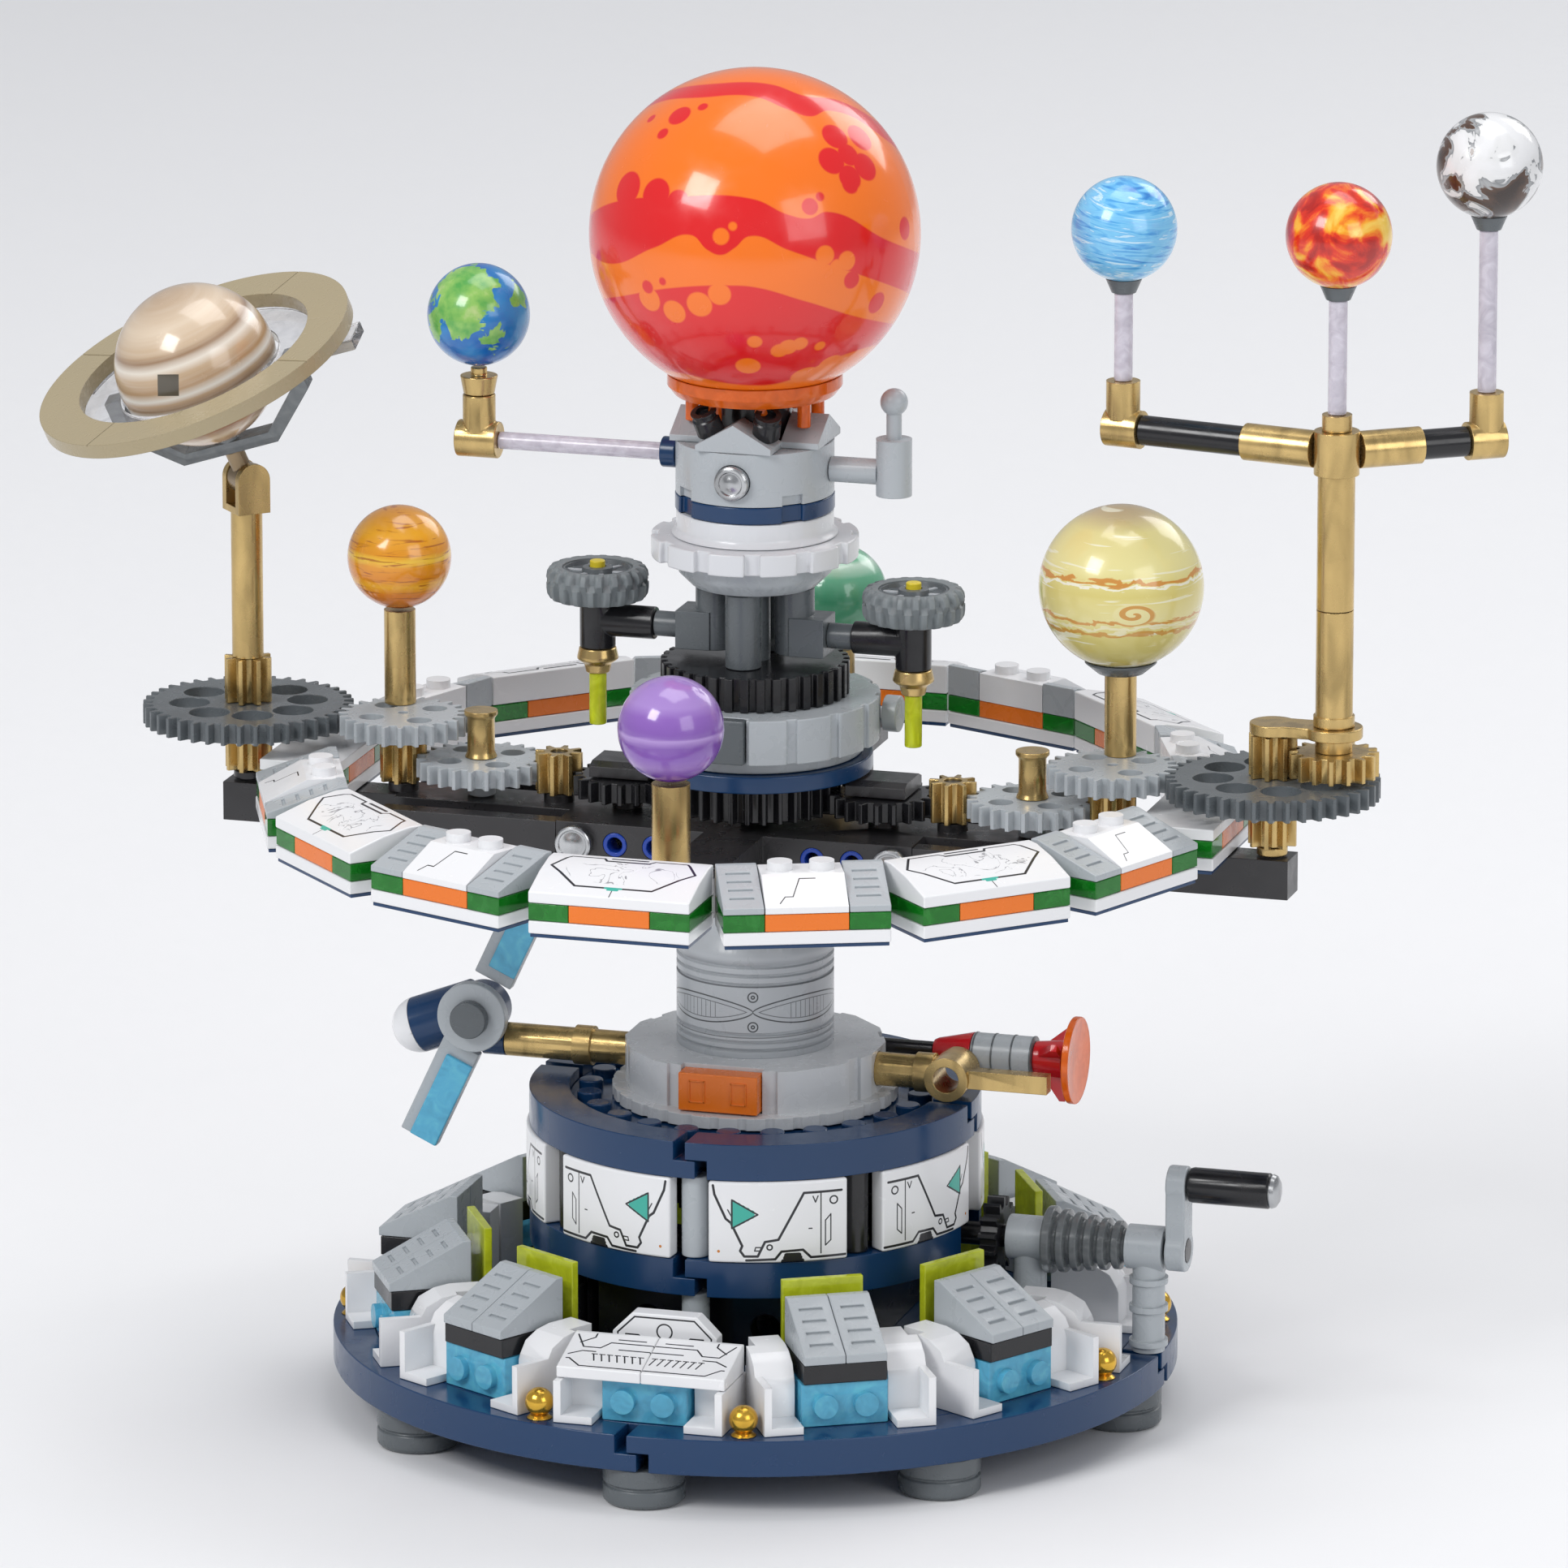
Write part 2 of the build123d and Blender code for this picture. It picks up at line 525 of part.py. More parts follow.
with BuildPart() as ring_slopes:
    ridge_profile = [(OUTER_FACE + 0.1, TOP_Z), (OUTER_FACE + 0.1, TOP_Z + 1.2),
                     (INNER_FACE - 7.6, TOP_Z + 5.6), (INNER_FACE - 0.1, TOP_Z + 5.6), (INNER_FACE - 0.1, TOP_Z)]
    vent_profile = [(OUTER_FACE + 0.1, TOP_Z), (OUTER_FACE + 0.1, TOP_Z + 1.2),
                    (INNER_FACE - 1.6, TOP_Z + 6.0), (INNER_FACE - 0.1, TOP_Z + 6.0), (INNER_FACE - 0.1, TOP_Z)]
    with BuildPart(mode=Mode.PRIVATE) as studded:
        add(wedge(ridge_profile, 15.8))
        with Locations((-4.0, INNER_FACE - 4.0, TOP_Z + 5.5), (4.0, INNER_FACE - 4.0, TOP_Z + 5.5)):
            Cylinder(2.4, 1.8, align=(Align.CENTER, Align.CENTER, Align.MIN))
    vent = wedge(vent_profile, 7.8)
    for k in range(1, RING_MODULES, 2):
        add(at_module(studded.part, k))
        for x in (-12.0, 12.0):
            add(at_module(Pos(x, 0, 0) * vent, k))
    for k in LOW_MODULES:
        plate = block((RING_WIDTH - 0.2, RING_DEPTH, 2.2), (-RING_WIDTH / 2 + 0.1, OUTER_FACE, TOP_Z))
        add(at_module(plate, k))

# ---------------------------------------------------------------- station and rocket
STATION_X, STATION_Z = -56.0, 73.6
STRIP_LEAN = 25.0

with BuildPart() as station_body:
    add(rod((-50.8, 0, 67.8), (-55.4, 0, 67.8), 3.3))
    add(rod((-55.2, 0, 70.9), (-55.2, 0, 77.0), 3.0))
    add(rod((STATION_X, 2.0, STATION_Z), (STATION_X, -5.0, STATION_Z), 5.4))
    add(rod((STATION_X, -5.1, STATION_Z), (STATION_X, -7.6, STATION_Z), 7.0))
    add(rod((STATION_X, -7.7, STATION_Z), (STATION_X, -10.0, STATION_Z), 3.7))
    hull_start = (-58.5, 4.6, STATION_Z - 1.0)
    hull_end = (-70.4, 4.6, STATION_Z - 5.6)
    add(rod(hull_start, hull_end, 5.6))
    with BuildPart(mode=Mode.PRIVATE) as hull_cap:
        add(ball(hull_end, 5.6))
        add(rod(hull_start, (-70.5, 4.6, STATION_Z - 5.64), 5.8), mode=Mode.SUBTRACT)
    add(hull_cap.part)

with BuildPart() as station_panels:
    for side, far in ((1, 27.0), (-1, 29.0)):
        with Locations(Pos(STATION_X, 0, STATION_Z) * Rot(0, STRIP_LEAN, 0)):
            with Locations((0, -2.6, side * (far + 7.6) / 2)):
                Box(8.0, 2.4, far - 7.6)
            with Locations((1.1, -4.36, side * (far + 10.0) / 2)):
                Box(5.8, 1.0, far - 10.6)

with BuildPart() as rocket:
    rocket_plane = Plane(origin=(34.0, ROCKET_Y, ROCKET_Z), x_dir=(0, 0, 1), z_dir=(0, 1, 0))
    add(turned([(0, 0), (2.0, 0), (2.4, 0.8), (4.0, 7.9), (0, 7.9)], rocket_plane))
    add(turned([(0, 8.0), (4.0, 8.0), (4.0, 20.4), (0, 20.4)], rocket_plane))
    add(turned([(0, 20.5), (3.2, 20.5), (3.8, 26.4), (0, 26.4)], rocket_plane))
    add(turned([(0, 26.5), (8.6, 27.8), (8.6, 29.2), (0, 28.4)], rocket_plane))
    with BuildPart(mode=Mode.PRIVATE) as fin:
        with BuildSketch(rocket_plane):
            with BuildLine():
                Polyline((2.8, 21.5), (8.4, 25.4), (8.4, 26.6), (2.8, 26.3), close=True)
            make_face()
        extrude(amount=0.7, both=True)
    for turn in (60, 180, 300):
        about_axis = Pos(0, ROCKET_Y, ROCKET_Z) * Rot(turn, 0, 0) * Pos(0, -ROCKET_Y, -ROCKET_Z)
        add(about_axis * fin.part)
    add(rod((17.0, ROCKET_Y, ROCKET_Z), (33.9, ROCKET_Y, ROCKET_Z), 1.5))

# ---------------------------------------------------------------- column
with BuildPart() as sun_shaft:
    crown_top = CRANK_Z - PINION_TEETH / 2 - 1.3
    add(disc(SHAFT_R, FOOT_H + 0.6, 163.6))
    add(disc(21.0, crown_top - 2.4, crown_top, bore=SHAFT_R - 0.2))
    with PolarLocations(0, CROWN_TEETH):
        add(Pos(0, 0, crown_top - 0.1) * CROWN_TOOTH)

with BuildPart() as sun_gear:
    add(gear(SUN_TEETH, GEAR_Z + 0.2, 127.0, SHAFT_R))
    with BuildSketch(Plane.XY.offset(142.1)):
        Circle(17.2)
        with PolarLocations(17.6, 36):
            Rectangle(1.6, 1.7)
        Circle(SHAFT_R, mode=Mode.SUBTRACT)
    extrude(amount=6.6)

with BuildPart() as column_housing:
    add(disc(23.0, 127.1, 130.5, bore=SHAFT_R))
    add(disc(21.0, 130.6, 133.0, bore=SHAFT_R))
    with BuildSketch(Plane.XY.offset(133.1)):
        Circle(24.4)
        with PolarLocations(24.4, 16, start_angle=11.25):
            Rectangle(1.6, 2.0, mode=Mode.SUBTRACT)
        with Locations((0, -24.0)):
            Rectangle(10.0, 5.0, mode=Mode.SUBTRACT)
        Circle(SHAFT_R, mode=Mode.SUBTRACT)
    extrude(amount=8.9)
    add(block((9.6, 2.6, 8.8), (-4.8, -24.3, 133.2)))
    with Locations(Pos(25.6, 8.0, 137.4) * Rot(0, 90, 0)):
        Cylinder(3.6, 3.0)

WHEEL_X = 32.0
with BuildPart() as wheel_arms:
    for x, y in ((0, -8.0), (0, 8.0)):
        add(Pos(x, y, 0) * disc(3.5, 148.8, 163.4))
    for side in (-1, 1):
        add(Pos(side * 8.0, 0, 0) * disc(3.9, 150.4, 163.4))
        add(block((7.0, 8.4, 7.6), (min(side * 8.0, side * 15.0), -4.2, 150.4)))
        add(rod((side * 15.1, 0, 154.2), (side * 20.0, 0, 154.2), 2.5))
        add(rod((side * 20.1, 0, 154.2), (side * WHEEL_X, 0, 154.2), 3.2))
        add(Pos(side * WHEEL_X, 0, 0) * disc(3.5, 148.8, 158.1))
        add(Pos(side * WHEEL_X, 0, 0) * disc(1.5, 158.2, 166.0))
    cone = [(0, 143.6), (2.3, 143.6), (2.7, 145.4), (4.1, 146.4), (3.6, 148.7), (0, 148.7)]
    for side in (-1, 1):
        with Locations((side * WHEEL_X, 0, 0)):
            add(turned(cone))
            add(disc(1.7, 133.2, 143.5))

wheel_profile = [(1.6, 158.4), (7.6, 158.4), (9.4, 158.9), (10.0, 160.4), (10.0, 163.0), (9.4, 164.5),
                 (7.6, 165.0), (7.0, 164.2), (2.8, 164.2), (2.8, 165.0), (1.6, 165.0)]
with BuildPart() as wheel_left:
    add(Pos(-WHEEL_X, 0, 0) * turned(wheel_profile))

with BuildPart() as wheel_right:
    add(Pos(WHEEL_X, 0, 0) * turned(wheel_profile))

with BuildPart() as column_flange:
    add(turned([(0, 163.7), (12.2, 163.7), (14.9, 166.4), (15.2, 169.3), (0, 169.3)]))
    with BuildSketch(Plane.XY.offset(169.4)):
        Circle(20.2)
        with PolarLocations(20.6, 12, start_angle=15):
            Rectangle(3.6, 3.0, mode=Mode.SUBTRACT)
    extrude(amount=4.4)
    add(turned([(0, 173.9), (16.4, 173.9), (15.3, 175.2), (15.3, 178.7), (0, 178.7)]))

ROOF = [(-7.6, 192.7), (7.6, 192.7), (7.6, 193.9), (0, 198.2), (-7.6, 193.9)]
with BuildPart() as column_head:
    with BuildSketch(Plane.XY.offset(178.8)):
        Circle(15.5)
        with PolarLocations(15.6, 4, start_angle=-45):
            Rectangle(2.4, 4.4, mode=Mode.SUBTRACT)
    extrude(amount=3.3)
    with BuildPart(mode=Mode.PRIVATE) as head_block:
        add(disc(15.4, 182.2, 192.6))
        with Locations(Pos(0, -15.4, 187.0) * Rot(90, 0, 0)):
            Cylinder(3.5, 4.0, mode=Mode.SUBTRACT)
        with PolarLocations(15.6, 4, start_angle=-45):
            add(block((2.4, 4.4, 2.0), (-1.2, -2.2, 182.2)), mode=Mode.SUBTRACT)
    add(head_block.part)
    add(rod((0, -13.5, 187.0), (0, -16.4, 187.0), 3.4))
    for angle in (0, 90, 180, 270):
        with BuildPart(mode=Mode.PRIVATE) as roof:
            with BuildSketch(Plane.XZ.offset(7.4)):
                with BuildLine():
                    Polyline(*ROOF, close=True)
                make_face()
            extrude(amount=7.6)
        add(around(roof.part, angle))
    add(disc(7.2, 192.7, 200.8))
    add(rod((15.5, 0, 187.4), (25.0, 0, 187.4), 2.5))
    add(Pos(28.0, 0, 0) * disc(3.5, 183.0, 194.2))
    add(Pos(28.0, 0, 0) * disc(1.5, 194.2, 199.4))
    add(ball((28.0, 0, 201.4), 2.7))
    with BuildPart(mode=Mode.PRIVATE) as cup:
        add(turned([(0, 201.6), (15.6, 201.6), (17.0, 203.4), (17.0, 209.0), (0, 209.0)]))
        with Locations((0, 0, SUN_Z)):
            Sphere(SUN_R + 0.1, mode=Mode.SUBTRACT)
    add(cup.part)
    for k in range(8):
        angle = radians(22.5 + 45 * k)
        spot = (12.2 * cos(angle), 12.2 * sin(angle))
        add(rod((*spot, 196.4), (*spot, 202.4), 1.3))

with BuildPart() as sun_globe:
    add(ball((0, 0, SUN_Z), SUN_R))

with BuildPart() as earth_arm:
    add(rod((-15.5, 0, 188.6), (-18.6, 0, 188.6), 3.0))
    add(rod((-18.7, 0, 188.6), (EARTH_X + 4.2, 0, 188.6), 1.7))
    add(rod((EARTH_X + 4.1, 0, 188.6), (EARTH_X - 4.2, 0, 188.6), 3.6))
    add(Pos(EARTH_X, 0, 0) * disc(3.2, 190.0, 197.6))
    earth_cup = [(0, 197.7), (3.0, 197.7), (3.7, 201.4), (1.6, 201.4), (1.6, 203.0), (0, 203.0)]
    add(Pos(EARTH_X, 0, 0) * turned(earth_cup))

# ---------------------------------------------------------------- gear trains
def gear_pair(side):
    """The idler, small and middle gears of one side."""
    with BuildPart() as idler:
        idler_wheel = gear(IDLER_TEETH, GEAR_Z + 0.6, GEAR_Z + 4.6, 1.8 + RUN, half_pitch=True)
        add(Pos(side * IDLER_X, 0, 0) * idler_wheel)
    with BuildPart() as small:
        add(Pos(side * SMALL_X, 0, 0) * gear(SMALL_TEETH, GEAR_Z, GEAR_Z + 8.0, 1.7 + RUN))
    with BuildPart() as middle:
        with Locations((side * MID_X, 0, 0)):
            add(gear(MID_TEETH, GEAR_Z + 1.9, GEAR_Z + 5.7, 1.8, half_pitch=True, holes=4))
            add(disc(1.8, BEAM_Z + 1.0, GEAR_Z + 5.7))
            add(disc(2.8, BEAM_TOP + 0.3, GEAR_Z + 1.9))
            add(turned([(0, GEAR_Z + 5.8), (3.2, GEAR_Z + 5.8), (2.7, GEAR_Z + 7.0), (2.7, GEAR_Z + 13.6),
                        (3.3, GEAR_Z + 14.4), (3.3, GEAR_Z + 15.2), (0, GEAR_Z + 15.2)]))
    return idler.part, small.part, middle.part


idler_left, small_gear_left, mid_gear_left = gear_pair(-1)
idler_right, small_gear_right, mid_gear_right = gear_pair(1)

ORANGE_SPOT = (-PLANET_X - 3.0, 7.4)
JUPITER_SPOT = (PLANET_X - 0.6, 8.0)


def planet_gear(side, spot, post_top):
    """A planet's gear: small gear below, wide gear above, and the planet's post off its centre."""
    with BuildPart() as body:
        with Locations((side * PLANET_X, 0, 0)):
            add(gear(SMALL_TEETH, GEAR_Z, GEAR_Z + 9.4, 1.7 + RUN))
            add(gear(MID_TEETH, GEAR_Z + 9.5, GEAR_Z + 13.5, 1.0, holes=4))
        with Locations((*spot, 0)):
            add(disc(POST_R, GEAR_Z + 13.6, post_top))
    return body.part


planet_gear_left = planet_gear(-1, ORANGE_SPOT, 151.4)
planet_gear_right = planet_gear(1, JUPITER_SPOT, 148.8)

with BuildPart() as outer_gear_left:
    with Locations((-OUTER_X, 0, 0)):
        add(gear(SMALL_TEETH, GEAR_Z, GEAR_Z + 9.4, 1.7 + RUN))
        add(gear(OUTER_TEETH, GEAR_Z + 9.5, GEAR_Z + 13.5, 1.7 + RUN, half_pitch=True, holes=8))
        add(gear(SMALL_TEETH, GEAR_Z + 13.7, GEAR_Z + 22.6, 1.0))
        add(disc(POST_R, GEAR_Z + 22.7, 172.4))
    with Locations(Pos(*SATURN_PIVOT) * Rot(0, 0, SATURN_TURN)):
        for y in (-3.8, 2.2):
            add(Rot(-90, 0, 0) * disc(3.4, y, y + 1.6))
            add(block((6.8, 1.6, 5.2), (-3.4, y, -5.2)))
        add(block((6.8, 7.6, 1.4), (-3.4, -3.8, -6.6)))
        add(Rot(-90, 0, 0) * disc(1.4, -3.5, 3.5))

with BuildPart() as outer_gear_right:
    with Locations((OUTER_X, 0, 0)):
        add(gear(SMALL_TEETH, GEAR_Z, GEAR_Z + 9.4, 1.7 + RUN))
        add(gear(OUTER_TEETH, GEAR_Z + 9.5, GEAR_Z + 13.5, 1.7 + RUN, half_pitch=True, holes=8))
        add(gear(SMALL_TEETH, GEAR_Z + 13.6, GEAR_Z + 22.0, 1.7 + RUN))

HOLDER_TOPS = [(HOLDER_X + reach * cos(radians(direction)), reach * sin(radians(direction)))
               for reach, direction in ARM_ENDS]
BLUE_Z, RED_Z, GREY_Z = 236.7, 239.7, 251.2

with BuildPart() as planet_holder:
    with Locations((HOLDER_X, 0, 0)):
        add(gear(HOLDER_TEETH, GEAR_Z + 14.6, GEAR_Z + 19.4, 2.0, half_pitch=True))
        add(disc(3.6, GEAR_Z + 19.5, 166.4))
        add(disc(4.0, LINK_Z + 2.4, LINK_Z + 4.4, bore=3.6))
        add(disc(3.6, 166.6, 193.0))
        add(disc(4.4, 193.1, 201.6))
        add(disc(2.9, 201.7, 204.8))
    for reach, direction in ARM_ENDS:
        heading = Vector(cos(radians(direction)), sin(radians(direction)), 0)
        hub = Vector(HOLDER_X, 0, ARM_Z)
        inner = 19.0 if reach > 40 else 17.0
        add(rod(tuple(hub + heading * 4.5), tuple(hub + heading * inner), 3.6))
        add(rod(tuple(hub + heading * (inner + 0.1)), tuple(hub + heading * (reach - 4.1)), 2.9))
        end = hub + heading * reach
        add(rod(tuple(end - heading * 4.0), tuple(end + heading * 3.2), 3.7))
        add(Pos(end.X, end.Y, 0) * disc(3.3, ARM_Z + 2.0, ARM_Z + 9.4))
    for (x, y), low, centre in ((HOLDER_TOPS[0], ARM_Z + 9.5, BLUE_Z), ((HOLDER_X, 0), 204.9, RED_Z),
                                (HOLDER_TOPS[1], ARM_Z + 9.5, GREY_Z)):
        with Locations((x, y, 0)):
            add(disc(1.8, low, centre - SMALL_R - 2.4))


def planet(spot, centre_z, radius, cup=True):
    """A small planet with the conical cup it sits in."""
    with BuildPart() as body:
        add(ball((*spot, centre_z), radius))
        if cup:
            low = centre_z - radius - 2.2
            high = centre_z - radius + 0.6
            with BuildPart(mode=Mode.PRIVATE) as cup_part:
                add(Pos(*spot, 0) * turned([(0, low), (2.4, low), (3.6, high), (0, high)]))
                with Locations((*spot, centre_z)):
                    Sphere(radius + 0.05, mode=Mode.SUBTRACT)
            add(cup_part.part)
    return body.part


blue_planet = planet(HOLDER_TOPS[0], BLUE_Z, SMALL_R)
red_planet = planet((HOLDER_X, 0), RED_Z, SMALL_R)
grey_planet = planet(HOLDER_TOPS[1], GREY_Z, SMALL_R)
purple_planet = planet((0, -56.0), 148.1, SMALL_R, cup=False)
green_planet = planet((0, 56.0), 148.1, SMALL_R, cup=False)
earth = planet((EARTH_X, 0), EARTH_Z + 1.4, SMALL_R - 0.2, cup=False)
orange_planet = planet(ORANGE_SPOT, 162.0, SMALL_R, cup=False)

with BuildPart() as jupiter:
    add(ball((*JUPITER_SPOT, 166.0), BIG_R, cut=1.6))
    add(Pos(*JUPITER_SPOT, 0) * turned([(0, 149.0), (4.6, 149.0), (7.0, 151.0), (7.0, 151.4), (0, 151.4)]))

SATURN_CENTRE = Vector(*SATURN_PIVOT) + SATURN_NORMAL * 26.0
SATURN_PLANE = Plane(origin=SATURN_CENTRE, x_dir=(1, 0, 0.32), z_dir=SATURN_NORMAL)
CRADLE = [(-20.5, -4.1), (-17.6, -4.1), (-17.6, -9.0), (-9.0, -17.0), (9.0, -17.0), (17.6, -9.0),
          (17.6, -4.1), (20.5, -4.1), (20.5, -10.2), (10.2, -19.4), (-10.2, -19.4), (-20.5, -10.2)]
with BuildPart() as saturn_ring:
    with BuildSketch(SATURN_PLANE.offset(-1.5)):
        Circle(32.4)
        Circle(24.0, mode=Mode.SUBTRACT)
    extrude(amount=3.0)
    with BuildPart(mode=Mode.PRIVATE) as clear_plate:
        with BuildSketch(SATURN_PLANE.offset(-4.0)):
            Circle(24.6)
            Rectangle(67.6, 7.8)
            Circle(16.6, mode=Mode.SUBTRACT)
        extrude(amount=2.4)
    add(clear_plate.part)
    with BuildPart(mode=Mode.PRIVATE) as cradle:
        with BuildSketch(Plane(origin=SATURN_CENTRE, x_dir=SATURN_PLANE.x_dir, z_dir=-SATURN_PLANE.y_dir)):
            with BuildLine():
                Polyline(*CRADLE, close=True)
            make_face()
        extrude(amount=2.0, both=True)
    add(cradle.part)
    add(rod(tuple(SATURN_CENTRE - SATURN_NORMAL * 17.1), tuple(SATURN_CENTRE - SATURN_NORMAL * 16.1), 2.0))
    with BuildPart(mode=Mode.PRIVATE) as knuckle:
        neck_top = SATURN_CENTRE - SATURN_NORMAL * 19.5
        add(rod(tuple(Vector(*SATURN_PIVOT) + SATURN_NORMAL * 1.4), tuple(neck_top), 1.9))
        with Locations(Pos(*SATURN_PIVOT) * Rot(0, 0, SATURN_TURN) * Rot(90, 0, 0)):
            Cylinder(3.2, 4.0)
            Cylinder(1.4 + RUN, 9.0, mode=Mode.SUBTRACT)
    add(knuckle.part)

with BuildPart() as saturn_globe:
    add(ball(tuple(SATURN_CENTRE), BIG_R))

# ---------------------------------------------------------------- finished pieces
PIECES = {
    "feet": feet, "base_disc": base_disc, "wall_brackets": wall_brackets, "window_bricks": window_bricks,
    "vent_slopes": vent_slopes, "lime_panels": lime_panels, "gold_balls": gold_balls, "nameplate": nameplate,
    "gearbox_frame": gearbox_frame, "drum_rings": drum_rings, "drum_panels": drum_panels,
    "crank_supports": crank_supports, "crank_axle": crank_axle, "crank_arm": crank_arm,
    "crank_grip": crank_grip, "drive_tube": drive_tube, "waist": waist, "ridged_sleeve": ridged_sleeve,
    "beams": beams, "beam_fittings": beam_fittings, "gold_arms": gold_arms, "ring_plates": ring_plates,
    "ring_lights": ring_lights, "ring_orange": ring_orange, "ring_panels": ring_panels,
    "ring_slopes": ring_slopes, "station_body": station_body, "station_panels": station_panels,
    "rocket": rocket, "sun_shaft": sun_shaft, "sun_gear": sun_gear, "column_housing": column_housing,
    "wheel_arms": wheel_arms, "wheel_left": wheel_left, "wheel_right": wheel_right,
    "column_flange": column_flange, "column_head": column_head,
    "sun_globe": sun_globe, "earth_arm": earth_arm, "outer_gear_left": outer_gear_left,
    "outer_gear_right": outer_gear_right, "planet_holder": planet_holder, "jupiter": jupiter,
    "saturn_ring": saturn_ring, "saturn_globe": saturn_globe,
}
for name, builder in PIECES.items():
    builder.part.label = name
    export_step(builder.part, f"parts/{name}.step")

TRAINS = {
    "idler_left": idler_left, "idler_right": idler_right, "small_gear_left": small_gear_left,
    "small_gear_right": small_gear_right, "mid_gear_left": mid_gear_left, "mid_gear_right": mid_gear_right,
    "planet_gear_left": planet_gear_left, "planet_gear_right": planet_gear_right, "blue_planet": blue_planet,
    "red_planet": red_planet, "grey_planet": grey_planet, "purple_planet": purple_planet,
    "green_planet": green_planet, "earth": earth, "orange_planet": orange_planet,
}
for name, piece in TRAINS.items():
    piece.label = name
    export_step(piece, f"parts/{name}.step")
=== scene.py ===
"""The looks of the orrery: materials, moulded details, prints, light and camera."""
import json
import math
import random

import bmesh
import bpy
from mathutils import Matrix, Vector

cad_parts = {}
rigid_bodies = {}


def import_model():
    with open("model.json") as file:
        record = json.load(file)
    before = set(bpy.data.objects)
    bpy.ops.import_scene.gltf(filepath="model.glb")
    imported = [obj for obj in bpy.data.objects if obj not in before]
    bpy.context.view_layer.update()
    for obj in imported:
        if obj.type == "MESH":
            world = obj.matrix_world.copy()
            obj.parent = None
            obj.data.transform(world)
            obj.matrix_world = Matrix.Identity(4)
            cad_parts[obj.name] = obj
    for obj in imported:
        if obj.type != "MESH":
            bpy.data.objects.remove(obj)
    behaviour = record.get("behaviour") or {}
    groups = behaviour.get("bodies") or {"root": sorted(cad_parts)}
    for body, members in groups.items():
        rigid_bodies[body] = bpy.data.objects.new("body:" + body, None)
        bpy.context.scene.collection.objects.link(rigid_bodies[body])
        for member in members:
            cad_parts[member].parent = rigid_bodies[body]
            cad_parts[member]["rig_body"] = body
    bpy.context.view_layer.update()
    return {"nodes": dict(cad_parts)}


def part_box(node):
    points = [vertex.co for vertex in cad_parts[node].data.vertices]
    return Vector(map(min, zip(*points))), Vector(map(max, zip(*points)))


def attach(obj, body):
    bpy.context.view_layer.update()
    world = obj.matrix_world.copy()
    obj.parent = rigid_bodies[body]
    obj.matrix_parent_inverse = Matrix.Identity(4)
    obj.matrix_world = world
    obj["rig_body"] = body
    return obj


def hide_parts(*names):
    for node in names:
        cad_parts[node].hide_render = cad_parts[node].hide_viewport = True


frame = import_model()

NODES = frame["nodes"]
MM = 0.001
UP = Vector((0, 0, 1))

# ---------------------------------------------------------------- camera
# A long lens from a little above, turned to the right of the front.
AZIMUTH, ELEVATION = math.radians(16.541), math.radians(14.560)
DISTANCE, LENS, AIM_Z, AIM_RIGHT = 2665.5, 314.3, 123.3, 5.61
RIGHT = Vector((math.cos(AZIMUTH), math.sin(AZIMUTH), 0))
LEVEL = Vector((math.sin(AZIMUTH), -math.cos(AZIMUTH), 0))
BACK = LEVEL * math.cos(ELEVATION) + UP * math.sin(ELEVATION)
OVER = BACK.cross(RIGHT)


def facing(x, y):
    """The direction from a globe's centre to the point seen at (x, y), in globe radii, from the front."""
    return RIGHT * x + OVER * y + BACK * math.sqrt(max(0.0, 1 - x * x - y * y))


# ---------------------------------------------------------------- node trees
def stroke_group():
    """A node group: the distance of a point from the line between two points."""
    group = bpy.data.node_groups.new("stroke", "ShaderNodeTree")
    for name in ("Point", "Start", "End"):
        group.interface.new_socket(name, in_out="INPUT", socket_type="NodeSocketVector")
    group.interface.new_socket("Distance", in_out="OUTPUT", socket_type="NodeSocketFloat")
    nodes, links = group.nodes, group.links
    entry, leave = nodes.new("NodeGroupInput"), nodes.new("NodeGroupOutput")

    def vector(operation, a, b):
        node = nodes.new("ShaderNodeVectorMath")
        node.operation = operation
        links.new(a, node.inputs[0])
        if operation == "SCALE":
            links.new(b, node.inputs["Scale"])
        else:
            links.new(b, node.inputs[1])
        return node.outputs["Value" if operation in ("DOT_PRODUCT", "DISTANCE") else "Vector"]

    along = vector("SUBTRACT", entry.outputs["End"], entry.outputs["Start"])
    offset = vector("SUBTRACT", entry.outputs["Point"], entry.outputs["Start"])
    share = nodes.new("ShaderNodeMath")
    share.operation, share.use_clamp = "DIVIDE", True
    links.new(vector("DOT_PRODUCT", offset, along), share.inputs[0])
    links.new(vector("DOT_PRODUCT", along, along), share.inputs[1])
    nearest = vector("SCALE", along, share.outputs[0])
    links.new(vector("DISTANCE", offset, nearest), leave.inputs["Distance"])
    return group


STROKE = stroke_group()


